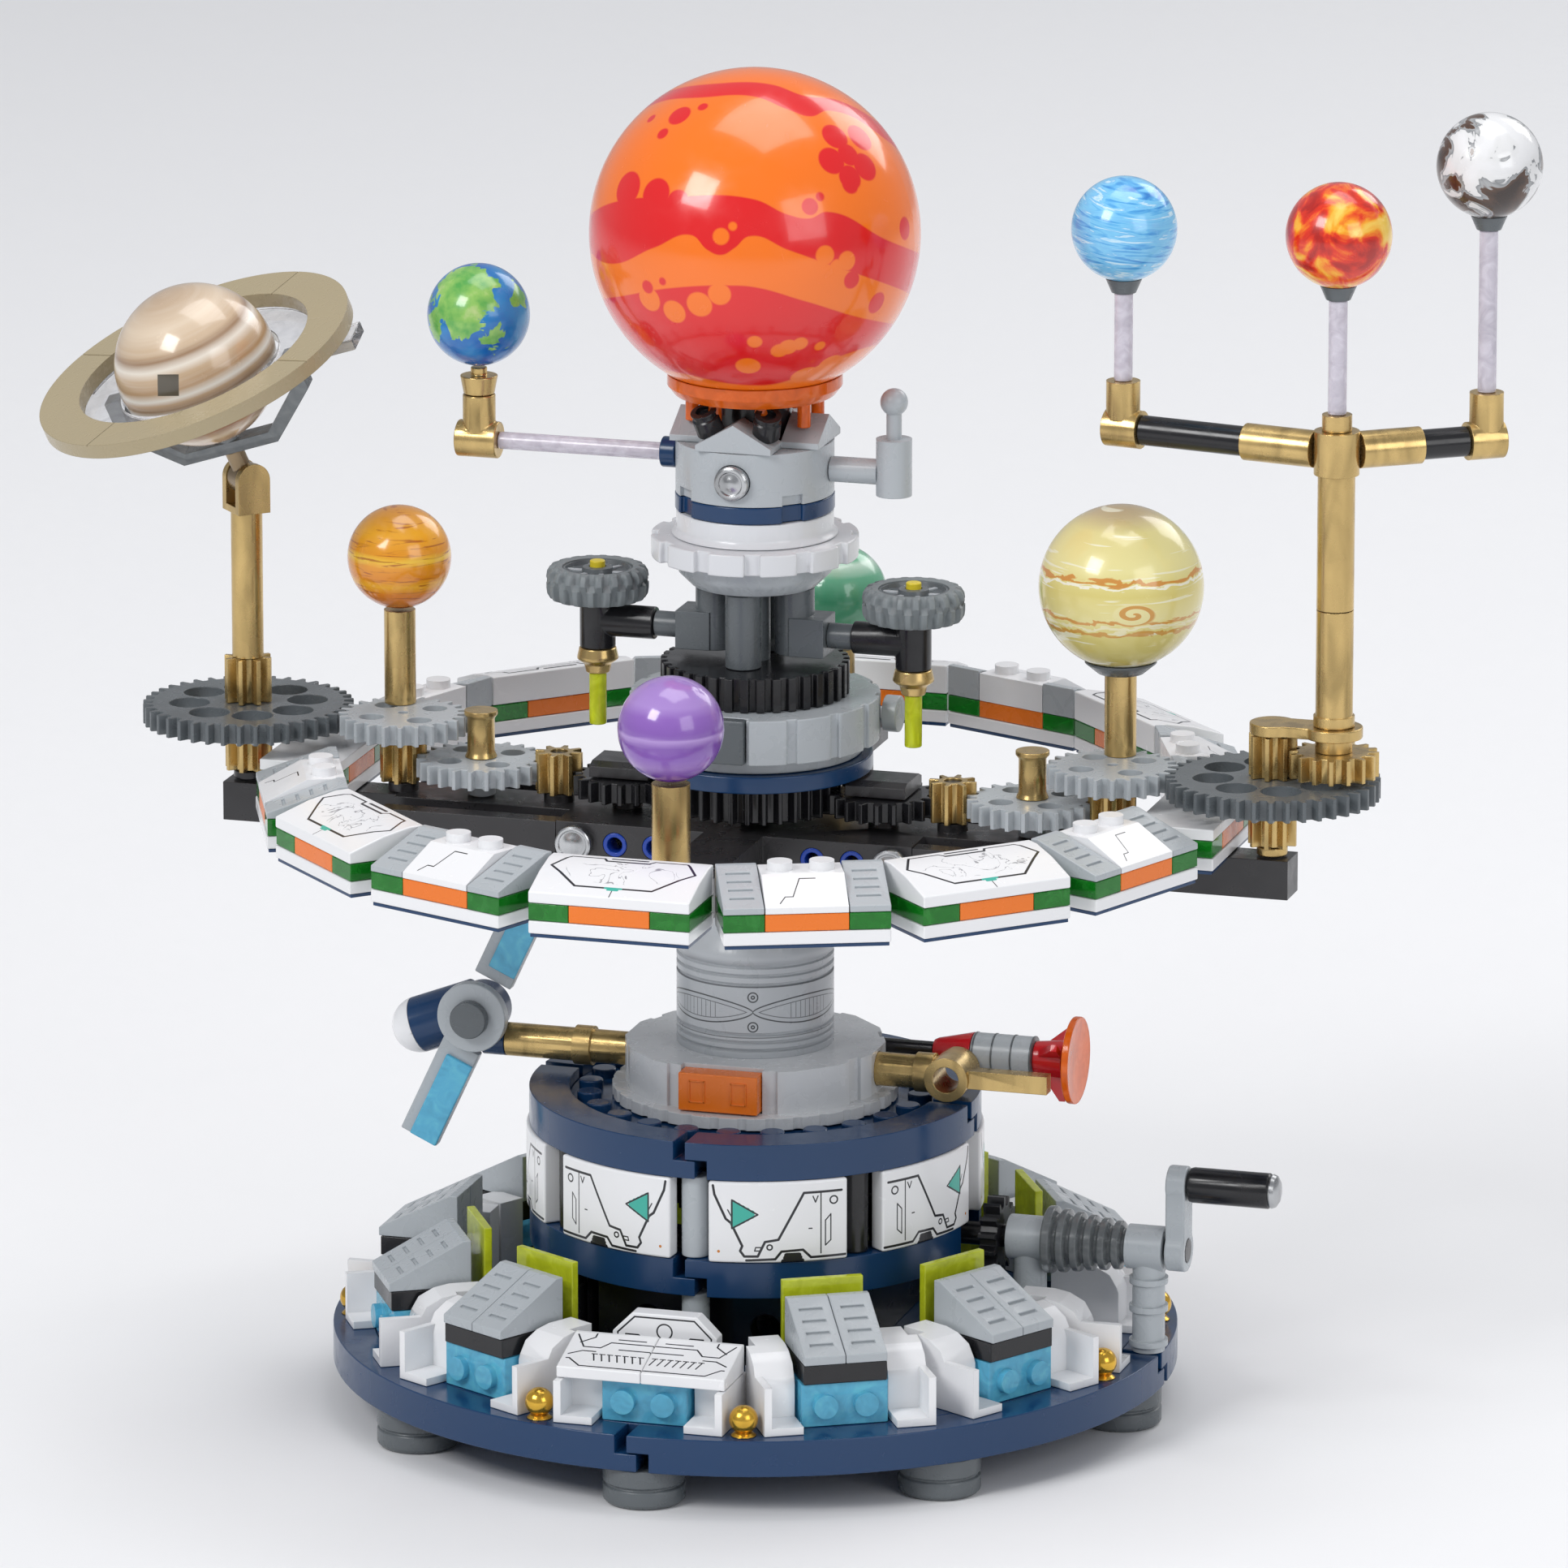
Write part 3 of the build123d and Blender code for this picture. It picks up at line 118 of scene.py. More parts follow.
class Paint:
    """A material in the making: a principled shader and short names for the nodes that feed it."""

    def __init__(self, name, **sockets):
        self.material = bpy.data.materials.new(name)
        self.material.use_nodes = True
        self.nodes = self.material.node_tree.nodes
        self.links = self.material.node_tree.links
        self.shader = self.nodes["Principled BSDF"]
        for socket, value in sockets.items():
            self.shader.inputs[socket.replace("_", " ")].default_value = value
        metres = self.nodes.new("ShaderNodeTexCoord").outputs["Object"]
        self.place = self.vec("SCALE", metres, 1 / MM)

    def put(self, value, socket):
        """A link if value is another node's output, and otherwise the socket's own value."""
        if isinstance(value, bpy.types.NodeSocket):
            self.links.new(value, socket)
        elif socket.type == "RGBA":
            socket.default_value = (*value, 1.0)
        else:
            socket.default_value = value

    def calc(self, operation, a, b=0.0, c=0.0):
        node = self.nodes.new("ShaderNodeMath")
        node.operation = operation
        for socket, value in zip(node.inputs, (a, b, c)):
            self.put(value, socket)
        return node.outputs[0]

    def most(self, a, b):
        return self.calc("MAXIMUM", a, b)

    def minus(self, a, b):
        return self.calc("SUBTRACT", a, b)

    def times(self, a, b):
        return self.calc("MULTIPLY", a, b)

    def size(self, value):
        return self.calc("ABSOLUTE", value)

    def vec(self, operation, a, b=None):
        node = self.nodes.new("ShaderNodeVectorMath")
        node.operation = operation
        self.put(a, node.inputs[0])
        if operation == "SCALE":
            self.put(b, node.inputs["Scale"])
        elif b is not None:
            self.put(b, node.inputs[1])
        return node.outputs["Value" if operation in ("DOT_PRODUCT", "DISTANCE", "LENGTH") else "Vector"]

    def parts(self, vector):
        node = self.nodes.new("ShaderNodeSeparateXYZ")
        self.links.new(vector, node.inputs[0])
        return node.outputs[0], node.outputs[1], node.outputs[2]

    def join(self, x, y, z=0.0):
        node = self.nodes.new("ShaderNodeCombineXYZ")
        for socket, value in zip(node.inputs, (x, y, z)):
            self.put(value, socket)
        return node.outputs[0]

    def noise(self, scale, vector=None, detail=2.0, distortion=0.0):
        node = self.nodes.new("ShaderNodeTexNoise")
        self.links.new(vector or self.place, node.inputs["Vector"])
        for socket, value in (("Scale", scale), ("Detail", detail), ("Distortion", distortion)):
            node.inputs[socket].default_value = value
        return node.outputs[0]

    def span(self, value, low, high, to_low=0.0, to_high=1.0):
        """The value, mapped from low..high to to_low..to_high and held there."""
        node = self.nodes.new("ShaderNodeMapRange")
        for socket, number in zip(node.inputs, (value, low, high, to_low, to_high)):
            self.put(number, socket)
        return node.outputs[0]

    def mix(self, share, a, b):
        node = self.nodes.new("ShaderNodeMix")
        node.data_type = "RGBA"
        self.put(share, node.inputs[0])
        self.put(a, node.inputs[6])
        self.put(b, node.inputs[7])
        return node.outputs[2]

    def ramp(self, value, stops):
        """A colour that runs through (position, colour) stops."""
        node = self.nodes.new("ShaderNodeValToRGB")
        elements = node.color_ramp.elements
        while len(elements) > 1:
            elements.remove(elements[-1])
        elements[0].position, elements[0].color = stops[0][0], (*stops[0][1], 1.0)
        for position, colour in stops[1:]:
            elements.new(position).color = (*colour, 1.0)
        self.put(value, node.inputs[0])
        return node.outputs[0]

    def curve(self, value, points):
        """A smooth function through (value, result) points, both between -1 and 1."""
        node = self.nodes.new("ShaderNodeFloatCurve")
        line = node.mapping.curves[0]
        while len(line.points) > 2:
            line.points.remove(line.points[1])
        scaled = [((x + 1) / 2, (y + 1) / 2) for x, y in points]
        line.points[0].location, line.points[1].location = scaled[0], scaled[-1]
        for point in scaled[1:-1]:
            line.points.new(*point)
        node.mapping.update()
        self.put(self.calc("MULTIPLY_ADD", value, 0.5, 0.5), node.inputs["Value"])
        return self.calc("MULTIPLY_ADD", node.outputs[0], 2.0, -1.0)

    def near(self, value, level, inner, outer, strength=1.0):
        """The strength where value is within inner of a level, and 0 beyond outer."""
        gap = self.size(self.minus(value, level))
        return self.span(gap, inner, outer, strength, 0.0)

    def ink(self, point, lines, width):
        """1 on the drawn lines, given as lists of flat points in mm, and 0 off them."""
        nearest = None
        for line in lines:
            for start, end in zip(line, line[1:]):
                node = self.nodes.new("ShaderNodeGroup")
                node.node_tree = STROKE
                self.links.new(point, node.inputs["Point"])
                node.inputs["Start"].default_value = (*start, 0.0)
                node.inputs["End"].default_value = (*end, 0.0)
                gap = node.outputs[0]
                nearest = gap if nearest is None else self.calc("MINIMUM", nearest, gap)
        return self.span(nearest, width / 2 - 0.04, width / 2 + 0.04, 1.0, 0.0)

    def blobs(self, direction, spots):
        """1 inside round spots on a globe, given as (direction, radius), and 0 outside."""
        mask = None
        for spot, radius in spots:
            gap = self.vec("DISTANCE", direction, tuple(spot))
            inside = self.span(gap, radius - 0.006, radius + 0.006, 1.0, 0.0)
            mask = inside if mask is None else self.most(mask, inside)
        return mask

    def wheel_place(self, step, offset=-90.0):
        """(across, outward, height) in mm within the nearest of the modules set every step degrees."""
        x, y, z = self.parts(self.place)
        angle = self.calc("DEGREES", self.calc("ARCTAN2", y, x))
        turns = self.calc("DIVIDE", self.minus(angle, offset), step)
        inside = self.times(self.minus(turns, self.calc("ROUND", turns)), step)
        radius = self.calc("SQRT", self.calc("ADD", self.times(x, x), self.times(y, y)))
        inside = self.calc("RADIANS", inside)
        across = self.times(radius, self.calc("SINE", inside))
        outward = self.times(radius, self.calc("COSINE", inside))
        return across, outward, z

    def moulded(self, colour, rough=0.24, tone=0.06):
        """Finishes the shader as moulded plastic: cloudy tone, faint flow, orange peel and uneven gloss."""
        cloud = self.noise(0.035, detail=3.0)
        if isinstance(colour, bpy.types.NodeSocket):
            darker = self.vec("SCALE", colour, 1 - tone)
        else:
            darker = tuple(c * (1 - tone) for c in colour)
        self.put(self.mix(cloud, darker, colour), self.shader.inputs["Base Color"])
        smear = self.noise(0.25, detail=4.0, distortion=0.6)
        self.put(self.span(smear, 0.3, 0.7, rough - 0.06, rough + 0.08), self.shader.inputs["Roughness"])
        bump = self.nodes.new("ShaderNodeBump")
        bump.inputs["Strength"].default_value = 0.16
        bump.inputs["Distance"].default_value = 0.02 * MM
        self.put(self.calc("ADD", self.noise(0.9), self.times(self.noise(6.0), 0.12)), bump.inputs["Height"])
        edge = self.nodes.new("ShaderNodeBevel")
        edge.samples = 4
        edge.inputs["Radius"].default_value = 0.22 * MM
        self.links.new(edge.outputs[0], bump.inputs["Normal"])
        self.links.new(bump.outputs[0], self.shader.inputs["Normal"])
        return self.material


def plastic(name, colour, rough=0.28, **sockets):
    return Paint(name, **sockets).moulded(colour, rough)


def clear(name, colour, rough=0.08, through=0.82):
    """Tinted transparent plastic, with paler moulding swirls inside."""
    paint = Paint(name, Transmission_Weight=through, IOR=1.46)
    swirl = paint.noise(0.3, detail=3.0, distortion=1.2)
    lighter = tuple(min(1.0, c * 1.16 + 0.02) for c in colour)
    darker = tuple(c * 0.86 for c in colour)
    paint.moulded(paint.ramp(swirl, [(0.3, darker), (0.5, colour), (0.7, lighter)]), rough, tone=0.03)
    return paint.material


def metal_like(name, colour, rough=0.26, metallic=0.85):
    """Pearl or plated plastic, with the streaks of its flow into the mould."""
    paint = Paint(name, Metallic=metallic)
    x, y, z = paint.parts(paint.place)
    streak = paint.noise(0.22, paint.join(x, y, paint.times(z, 0.25)), detail=2.0, distortion=0.6)
    pale = tuple(min(1.0, c * 1.15) for c in colour)
    deep = tuple(c * 0.72 for c in colour)
    return paint.moulded(paint.ramp(streak, [(0.32, deep), (0.5, colour), (0.68, pale)]), rough, tone=0.1)


LIGHT_GREY = plastic("light_grey", (0.44, 0.475, 0.50))
PALE_GREY = plastic("pale_grey", (0.62, 0.64, 0.66), 0.24)
DARK_GREY = plastic("dark_grey", (0.115, 0.13, 0.14))
PRINT_WHITE = (0.86, 0.865, 0.88)
WHITE = plastic("white", PRINT_WHITE, 0.2)
WHITE_GREY = plastic("white_grey", (0.72, 0.735, 0.76), 0.2)
BLACK = plastic("black", (0.012, 0.012, 0.014), 0.22)
BEAM_BLACK = plastic("beam_black", (0.028, 0.027, 0.029), 0.3)
NAVY = plastic("navy", (0.006, 0.04, 0.12), 0.2)
PIN_BLUE = plastic("pin_blue", (0.01, 0.05, 0.35), 0.22)
ORANGE = plastic("orange", (0.86, 0.19, 0.012), 0.26)
RED = plastic("red", (0.62, 0.012, 0.018), 0.2, Coat_Weight=0.3)
YELLOW = plastic("yellow", (0.75, 0.6, 0.03))
GOLD = metal_like("gold", (0.62, 0.44, 0.18), 0.26)
BRIGHT_GOLD = metal_like("bright_gold", (0.75, 0.45, 0.06), 0.2)
BRONZE = metal_like("bronze", (0.3, 0.22, 0.13), 0.3, 0.6)
SILVER = metal_like("silver", (0.50, 0.51, 0.52), 0.24, 1.0)
TAN = plastic("tan", (0.40, 0.33, 0.20), 0.26)
CLEAR_BLUE = clear("clear_blue", (0.16, 0.66, 0.95), through=0.4)
CLEAR_LIME = clear("clear_lime", (0.74, 0.82, 0.03), through=0.45)
CLEAR_GREEN = clear("clear_green", (0.01, 0.30, 0.02), through=0.5)
CLEAR_ORANGE = clear("clear_orange", (0.95, 0.17, 0.01), 0.12, 0.35)
CLEAR = clear("clear", (0.76, 0.72, 0.80), 0.1, 0.5)
CLEAR_PLATE = clear("clear_plate", (0.90, 0.90, 0.92), 0.04, 0.93)
SMOKE = clear("smoke", (0.24, 0.26, 0.27), 0.15, 0.5)
TYRE = plastic("tyre", (0.20, 0.225, 0.235), 0.5)
INK = (0.02, 0.02, 0.025)
TEAL = (0.05, 0.45, 0.36)


# ---------------------------------------------------------------- prints on the white parts
def drum_print():
    """The drum's curved panels: an outlined polygon, small fittings and an arrow, mirrored in pairs."""
    paint = Paint("drum_print")
    across, outward, z = paint.wheel_place(90.0)
    angle = paint.calc("ARCTAN2", paint.size(across), outward)
    point = paint.join(paint.calc("MULTIPLY_ADD", angle, 44.9, -3.9), paint.minus(z, 39.4))
    heavy = [
        [(0.9, 15.4), (1.2, 13.6), (3.4, 8.8), (4.4, 8.0), (6.6, 3.4), (6.2, 2.4), (7.0, 1.3), (9.6, 1.3),
         (11.0, 4.2),
         (13.6, 4.6), (18.6, 13.8), (26.2, 13.8)],
        [(7.4, 0.5), (13.0, 0.7), (14.2, 2.2), (18.4, 2.4), (20.0, 0.8), (27.0, 0.8)],
    ]
    fine = [
        [(22.0, 13.7), (22.0, 1.5)], [(22.9, 3.0), (22.9, 8.0), (24.0, 9.2), (24.0, 4.0), (22.9, 3.0)],
        [(3.8, 10.6), (5.4, 7.6)], [(4.6, 10.8), (6.2, 7.8)], [(20.4, 13.0), (20.9, 11.8), (21.4, 13.0)],
        [(19.6, 6.6), (20.2, 6.6)], [(9.2, 3.1), (10.2, 3.1), (10.2, 2.4), (9.0, 2.4), (9.2, 3.1)],
    ]
    arrow = [(4.6, 12.6), (4.6, 6.9), (9.6, 9.7), (4.6, 12.6)]
    marks = paint.most(paint.ink(point, heavy, 0.5), paint.ink(point, fine, 0.26))
    for spot, radius in (((24.6, 12.0), 0.75), ((11.9, 3.1), 0.5), ((5.9, 8.4), 0.35)):
        reach = paint.vec("DISTANCE", point, (*spot, 0.0))
        marks = paint.most(marks, paint.near(reach, radius, 0.12, 0.2))
    foot = paint.ink(point, [[(14.6, 0.2), (18.2, 0.2)], [(15.0, 0.9), (17.8, 0.9)],
                             [(15.2, 1.4), (17.6, 1.4)]], 1.0)
    colour = paint.mix(paint.most(marks, foot), PRINT_WHITE, INK)
    rows = [[(4.9 + 0.9 * k, 7.4 + 0.5 * k), (4.9 + 0.9 * k, 12.1 - 0.5 * k)] for k in range(5)]
    colour = paint.mix(paint.ink(point, rows, 1.0), colour, TEAL)
    colour = paint.mix(paint.ink(point, [arrow], 0.34), colour, INK)
    spot = paint.span(paint.vec("DISTANCE", point, (2.0, 2.2, 0.0)), 0.25, 0.33, 1.0, 0.0)
    return paint.moulded(paint.mix(spot, colour, (0.6, 0.2, 0.02)), 0.2)


def ring_print():
    """The ring's wide panels: an outlined badge with crackle lines and a small teal mark."""
    paint = Paint("ring_print")
    across, outward, z = paint.wheel_place(45.0)
    inward = paint.minus(96.4, outward)
    point = paint.join(across, inward)
    outline = [(-14.2, 9.6), (-11.4, 14.2), (-5.0, 14.2), (-4.2, 12.8), (4.2, 12.8), (5.0, 14.2),
               (11.4, 14.2), (14.2, 9.6),
               (7.6, 3.0), (-7.6, 3.0), (-14.2, 9.6)]
    top_bar = paint.ink(point, [[(-3.4, 14.3), (3.4, 14.3)]], 0.7)
    heavy = paint.most(paint.ink(point, [outline], 0.5), top_bar)
    heavy = paint.most(heavy, paint.ink(point, [[(0.0, 0.0), (0.0, 2.6)]], 0.2))
    cracks = paint.size(paint.minus(paint.noise(0.16, detail=3.0, distortion=1.4), 0.5))
    cracks = paint.span(cracks, 0.006, 0.014, 1.0, 0.0)
    flat = paint.vec("MULTIPLY", paint.join(across, paint.minus(inward, 8.4)), (0.085, 0.24, 0.0))
    inside = paint.span(paint.vec("LENGTH", flat), 0.92, 1.0, 1.0, 0.0)
    faint = paint.times(paint.times(cracks, inside), 0.8)
    colour = paint.mix(faint, PRINT_WHITE, (0.2, 0.2, 0.22))
    colour = paint.mix(heavy, colour, INK)
    side = paint.span(z, 125.1, 125.3)
    colour = paint.mix(side, PRINT_WHITE, colour)
    mark = paint.ink(point, [[(-1.5, 3.0), (1.5, 3.0)], [(-0.9, 2.5), (0.9, 2.5)]], 0.6)
    return paint.moulded(paint.mix(mark, colour, TEAL), 0.2)


def ridge_print():
    """The studded wedges of the ring, each with one thin zigzag seam."""
    paint = Paint("ridge_print")
    across, outward, z = paint.wheel_place(45.0, -67.5)
    point = paint.join(across, paint.minus(96.4, outward))
    seam = paint.ink(point, [[(-5.0, 1.2), (-3.9, 2.8), (-2.4, 2.8), (-0.8, 7.2), (2.2, 7.2)]], 0.24)
    seam = paint.times(seam, paint.span(z, 124.3, 124.4))
    return paint.moulded(paint.mix(seam, PRINT_WHITE, INK), 0.2)


def nameplate_print():
    """The front plate: an angular border with a row of plain ticks in place of any lettering."""
    paint = Paint("nameplate_print")
    x, y, z = paint.parts(paint.place)
    mirrored = paint.size(x)
    point = paint.join(mirrored, paint.calc("ADD", y, 77.0))
    border = [[(0.0, 9.4), (8.6, 9.4), (10.2, 7.4), (13.6, 7.4), (15.8, 11.4)],
              [(0.0, 0.9), (12.6, 0.9), (15.2, 3.2), (15.8, 3.2)],
              [(15.8, 4.6), (13.4, 6.0), (10.8, 6.0)], [(2.0, 10.6), (7.4, 10.6)], [(0.0, 7.2), (6.4, 7.2)],
              [(14.6, 8.8), (12.2, 10.8), (12.2, 12.0)]]
    ticks = [[(0.9 + 1.55 * k, 3.0), (1.6 + 1.55 * k, 5.2)] for k in range(7)]
    ticks += [[(0.9 + 1.55 * k, 5.2), (1.9 + 1.55 * k, 5.2)] for k in range(7)]
    marks = paint.most(paint.ink(point, border, 0.34), paint.ink(point, ticks, 0.3))
    marks = paint.times(marks, paint.span(z, 25.9, 26.1))
    return paint.moulded(paint.mix(marks, PRINT_WHITE, INK), 0.2)


def emblem_print():
    """The little six-sided emblem: its outline, a ringed disc and two bars."""
    paint = Paint("emblem_print")
    x, y, z = paint.parts(paint.place)
    point = paint.join(paint.size(x), z)
    border = [[(0.0, 32.2), (6.0, 32.2), (9.4, 28.9), (9.4, 26.0)],
              [(0.0, 26.9), (3.6, 26.9), (5.2, 28.6), (7.8, 28.6)],
              [(0.0, 25.6), (8.0, 25.6)]]
    marks = paint.ink(point, border, 0.34)
    reach = paint.vec("DISTANCE", point, (0.0, 29.6, 0.0))
    marks = paint.most(marks, paint.near(reach, 1.5, 0.12, 0.2))
    return paint.moulded(paint.mix(marks, PRINT_WHITE, INK), 0.2)


def sleeve_print():
    """The ridged sleeve: long ovals with bars in them, and two dotted hexagons at the front."""
    paint = Paint("sleeve_print")
    x, y, z = paint.parts(paint.place)
    angle = paint.calc("ARCTAN2", x, paint.times(y, -1.0))
    angle = paint.minus(angle, AZIMUTH * 0.9)
    wave = paint.calc("POWER", paint.size(paint.calc("SINE", paint.times(angle, 2.0))), 0.6)
    height = paint.size(paint.minus(z, 81.4))
    edge = paint.times(wave, 2.7)
    outer = paint.near(height, edge, 0.1, 0.18)
    inner = paint.near(height, paint.minus(edge, 0.9), 0.06, 0.12, 0.8)
    lines = paint.most(outer, inner)
    steps = paint.times(angle, 14.0)
    bars = paint.near(steps, paint.calc("ROUND", steps), 0.05, 0.09, 0.75)
    inside = paint.calc("LESS_THAN", height, paint.minus(edge, 1.0))
    broad = paint.calc("GREATER_THAN", wave, 0.86)
    lines = paint.most(lines, paint.times(bars, paint.times(inside, broad)))
    point = paint.join(paint.times(angle, 15.4), height)
    for radius in (0.95, 0.3):
        reach = paint.vec("DISTANCE", point, (0.0, 3.0, 0.0))
        lines = paint.most(lines, paint.near(reach, radius, 0.1, 0.17))
    for level in (76.2, 86.4):
        lines = paint.most(lines, paint.near(z, level, 0.08, 0.15, 0.7))
    return paint.moulded(paint.mix(lines, (0.44, 0.465, 0.49), (0.05, 0.055, 0.06)), 0.3)


# ---------------------------------------------------------------- globes
class Globe(Paint):
    """A printed gloss globe, painted by direction from its centre."""

    def __init__(self, name, centre, axis=UP):
        super().__init__(name, Coat_Weight=0.5, Coat_Roughness=0.06)
        self.direction = self.vec("NORMALIZE", self.vec("SUBTRACT", self.place, tuple(centre)))
        self.height = self.vec("DOT_PRODUCT", self.direction, tuple(axis))

    def streaks(self, stretch, detail=5.0, distortion=0.5, scale=1.0):
        """Noise drawn out round the globe's axis."""
        x, y, z = self.parts(self.direction)
        flattened = self.join(x, y, self.times(self.height, stretch))
        return self.noise(scale, flattened, detail, distortion)

    def banded(self, stops, wobble=0.04, stretch=5.0):
        """Colours by height, with edges that wander."""
        shift = self.times(self.minus(self.streaks(stretch), 0.5), wobble * 2)
        level = self.calc("MULTIPLY_ADD", self.calc("ADD", self.height, shift), 0.5, 0.5)
        return self.ramp(level, stops)


def sun_paint(centre):
    """Gloss orange with wandering red bands, spots and petals."""
    paint = Globe("sun_paint", centre)
    across = paint.vec("DOT_PRODUCT", paint.direction, tuple(RIGHT))
    over = paint.vec("DOT_PRODUCT", paint.direction, tuple(OVER))
    edges = {
        "top_high": [(-1, .56), (-.6, .82), (-.2, .88), (.1, .87), (.3, .80), (.5, .78), (.8, .62),
                     (1, .46)],
        "top_low": [(-1, .5), (-.62, .76), (-.3, .79), (0, .79), (.2, .71), (.34, .67), (.44, .71),
                    (.8, .54), (1, .36)],
        "mid_high": [(-1, .10), (-.86, .16), (-.5, .18), (0, .16), (.2, .07), (.33, .05), (.43, .09),
                     (.8, -.07), (1, -.13)],
        "mid_low": [(-1, -.10), (-.88, -.20), (-.6, -.12), (-.38, -.05), (-.28, -.14), (-.2, -.17),
                    (-.12, -.13), (-.03, -.06),
                    (.2, -.14), (.5, -.24), (.9, -.36), (1, -.39)],
        "low_high": [(-1, -.40), (-.85, -.40), (-.5, -.36), (-.15, -.35), (0, -.36), (.3, -.44), (.7, -.54),
                     (1, -.55)],
        "low_low": [(-1, -.72), (-.5, -.84), (0, -.93), (.2, -.90), (.45, -.78), (1, -.6)],
    }
    level = {name: paint.curve(across, points) for name, points in edges.items()}

    def between(high, low):
        above = paint.span(paint.minus(over, level[low]), -0.005, 0.005)
        below = paint.span(paint.minus(level[high], over), -0.005, 0.005)
        return paint.times(above, below)

    red = paint.most(between("top_high", "top_low"), between("mid_high", "mid_low"))
    red = paint.most(red, between("low_high", "low_low"))
    dots = [(-.45, .68, .075), (-.62, .67, .032), (-.55, .57, .04), (-.31, .73, .033), (.33, .12, .052),
            (.39, .18, .028),
            (.90, .01, .07), (-.76, .24, .11), (-.59, .20, .10), (-.46, .15, .075), (.56, .44, .075),
            (.48, .55, .088),
            (.63, .55, .092), (.46, .40, .088), (.66, .37, .09), (.57, .30, .08), (.57, .26, .06)]
    holes = [(-.20, -.06, .05), (-.13, .0, .026), (.0, -.68, .045), (-.04, -.82, .075), (.15, -.73, .055),
             (.2, -.71, .06),
             (.27, -.69, .05), (.39, -.70, .035), (.45, -.80, .08), (.30, -.87, .09), (-.63, -.42, .08),
             (-.48, -.50, .075),
             (-.33, -.46, .08), (-.21, -.40, .07), (.42, -.17, .06), (.55, -.20, .06), (.49, -.24, .05)]
    late = [(.58, -.31, .056), (.73, -.44, .07), (-.64, -.35, .042), (-.55, -.32, .025)]
    random.seed(5)
    for spots, count in ((dots, 9), (holes, 7)):
        for _ in range(count):
            spots.append((random.uniform(-.8, .8), random.uniform(-.8, .8), random.uniform(.03, .08), True))

    def placed(spots):
        made = []
        for spot in spots:
            direction = facing(spot[0], spot[1])
            made.append((-direction if len(spot) == 4 else direction, spot[2]))
        return made

    red = paint.most(red, paint.blobs(paint.direction, placed(dots)))
    red = paint.calc("MINIMUM", red, paint.minus(1.0, paint.blobs(paint.direction, placed(holes))))
    red = paint.most(red, paint.blobs(paint.direction, placed(late)))
    return paint.moulded(paint.mix(red, (0.98, 0.19, 0.006), (0.78, 0.008, 0.010)), 0.2, tone=0.12)


def earth_paint(centre):
    """Deep and light blue seas under green and yellow-green land."""
    paint = Globe("earth_paint", centre)
    lands = [(facing(-.35, .35), .78), (facing(-.05, -.25), .22), (facing(.3, -.5), .25),
             (facing(-.8, -.2), .3),
             (-facing(.2, .2), .6), (-facing(-.5, -.4), .35), (facing(.8, .3), .2)]
    ragged = paint.noise(2.6, paint.direction, 7.0, 0.6)
    coast = paint.times(paint.minus(ragged, 0.5), 1.5)
    land = None
    for spot, radius in lands:
        gap = paint.calc("ADD", paint.vec("DISTANCE", paint.direction, tuple(spot)), coast)
        inside = paint.span(gap, radius - 0.02, radius + 0.02, 1.0, 0.0)
        land = inside if land is None else paint.most(land, inside)
    waters = [(0.3, (0.004, 0.09, 0.42)), (0.7, (0.02, 0.28, 0.62))]
    sea = paint.ramp(paint.noise(1.4, paint.direction, 3.0), waters)
    soils = [(0.35, (0.09, 0.38, 0.07)), (0.6, (0.28, 0.55, 0.12)), (0.8, (0.55, 0.65, 0.3))]
    soil = paint.ramp(paint.noise(3.0, paint.direction, 5.0), soils)
    return paint.moulded(paint.mix(land, sea, soil), 0.22)


def blue_paint(centre):
    """Light blue with crossing darker and white streaks."""
    paint = Globe("blue_paint", centre, (0.12, 0.0, 1.0))
    streak = paint.streaks(9.0, 3.0, 1.2, 0.9)
    stops = [(0.30, (0.03, 0.22, 0.62)), (0.42, (0.10, 0.42, 0.80)), (0.5, (0.22, 0.60, 0.90)),
             (0.58, (0.18, 0.52, 0.86)), (0.62, (0.62, 0.84, 0.95)), (0.7, (0.25, 0.6, 0.9))]
    return paint.moulded(paint.ramp(streak, stops), 0.2)


def red_paint(centre):
    """Red and orange with yellow patches."""
    paint = Globe("red_paint", centre)
    patch = paint.noise(1.6, paint.direction, 6.0, 0.8)
    stops = [(0.36, (0.45, 0.01, 0.005)), (0.46, (0.78, 0.03, 0.006)), (0.51, (0.9, 0.16, 0.008)),
             (0.57, (0.96, 0.42, 0.02)), (0.66, (0.98, 0.66, 0.12))]
    return paint.moulded(paint.ramp(patch, stops), 0.22)


def grey_paint(centre):
    """Broken white, grey and dark brown."""
    paint = Globe("grey_paint", centre)
    patch = paint.calc("MULTIPLY_ADD", paint.height, 0.10, paint.noise(1.05, paint.direction, 4.0, 0.9))
    stops = [(0.36, (0.035, 0.02, 0.015)), (0.455, (0.10, 0.05, 0.03)), (0.465, (0.42, 0.43, 0.44)),
             (0.50, (0.24, 0.25, 0.26)), (0.51, (0.80, 0.80, 0.80)), (0.62, (0.86, 0.86, 0.87))]
    return paint.moulded(paint.ramp(patch, stops), 0.2)


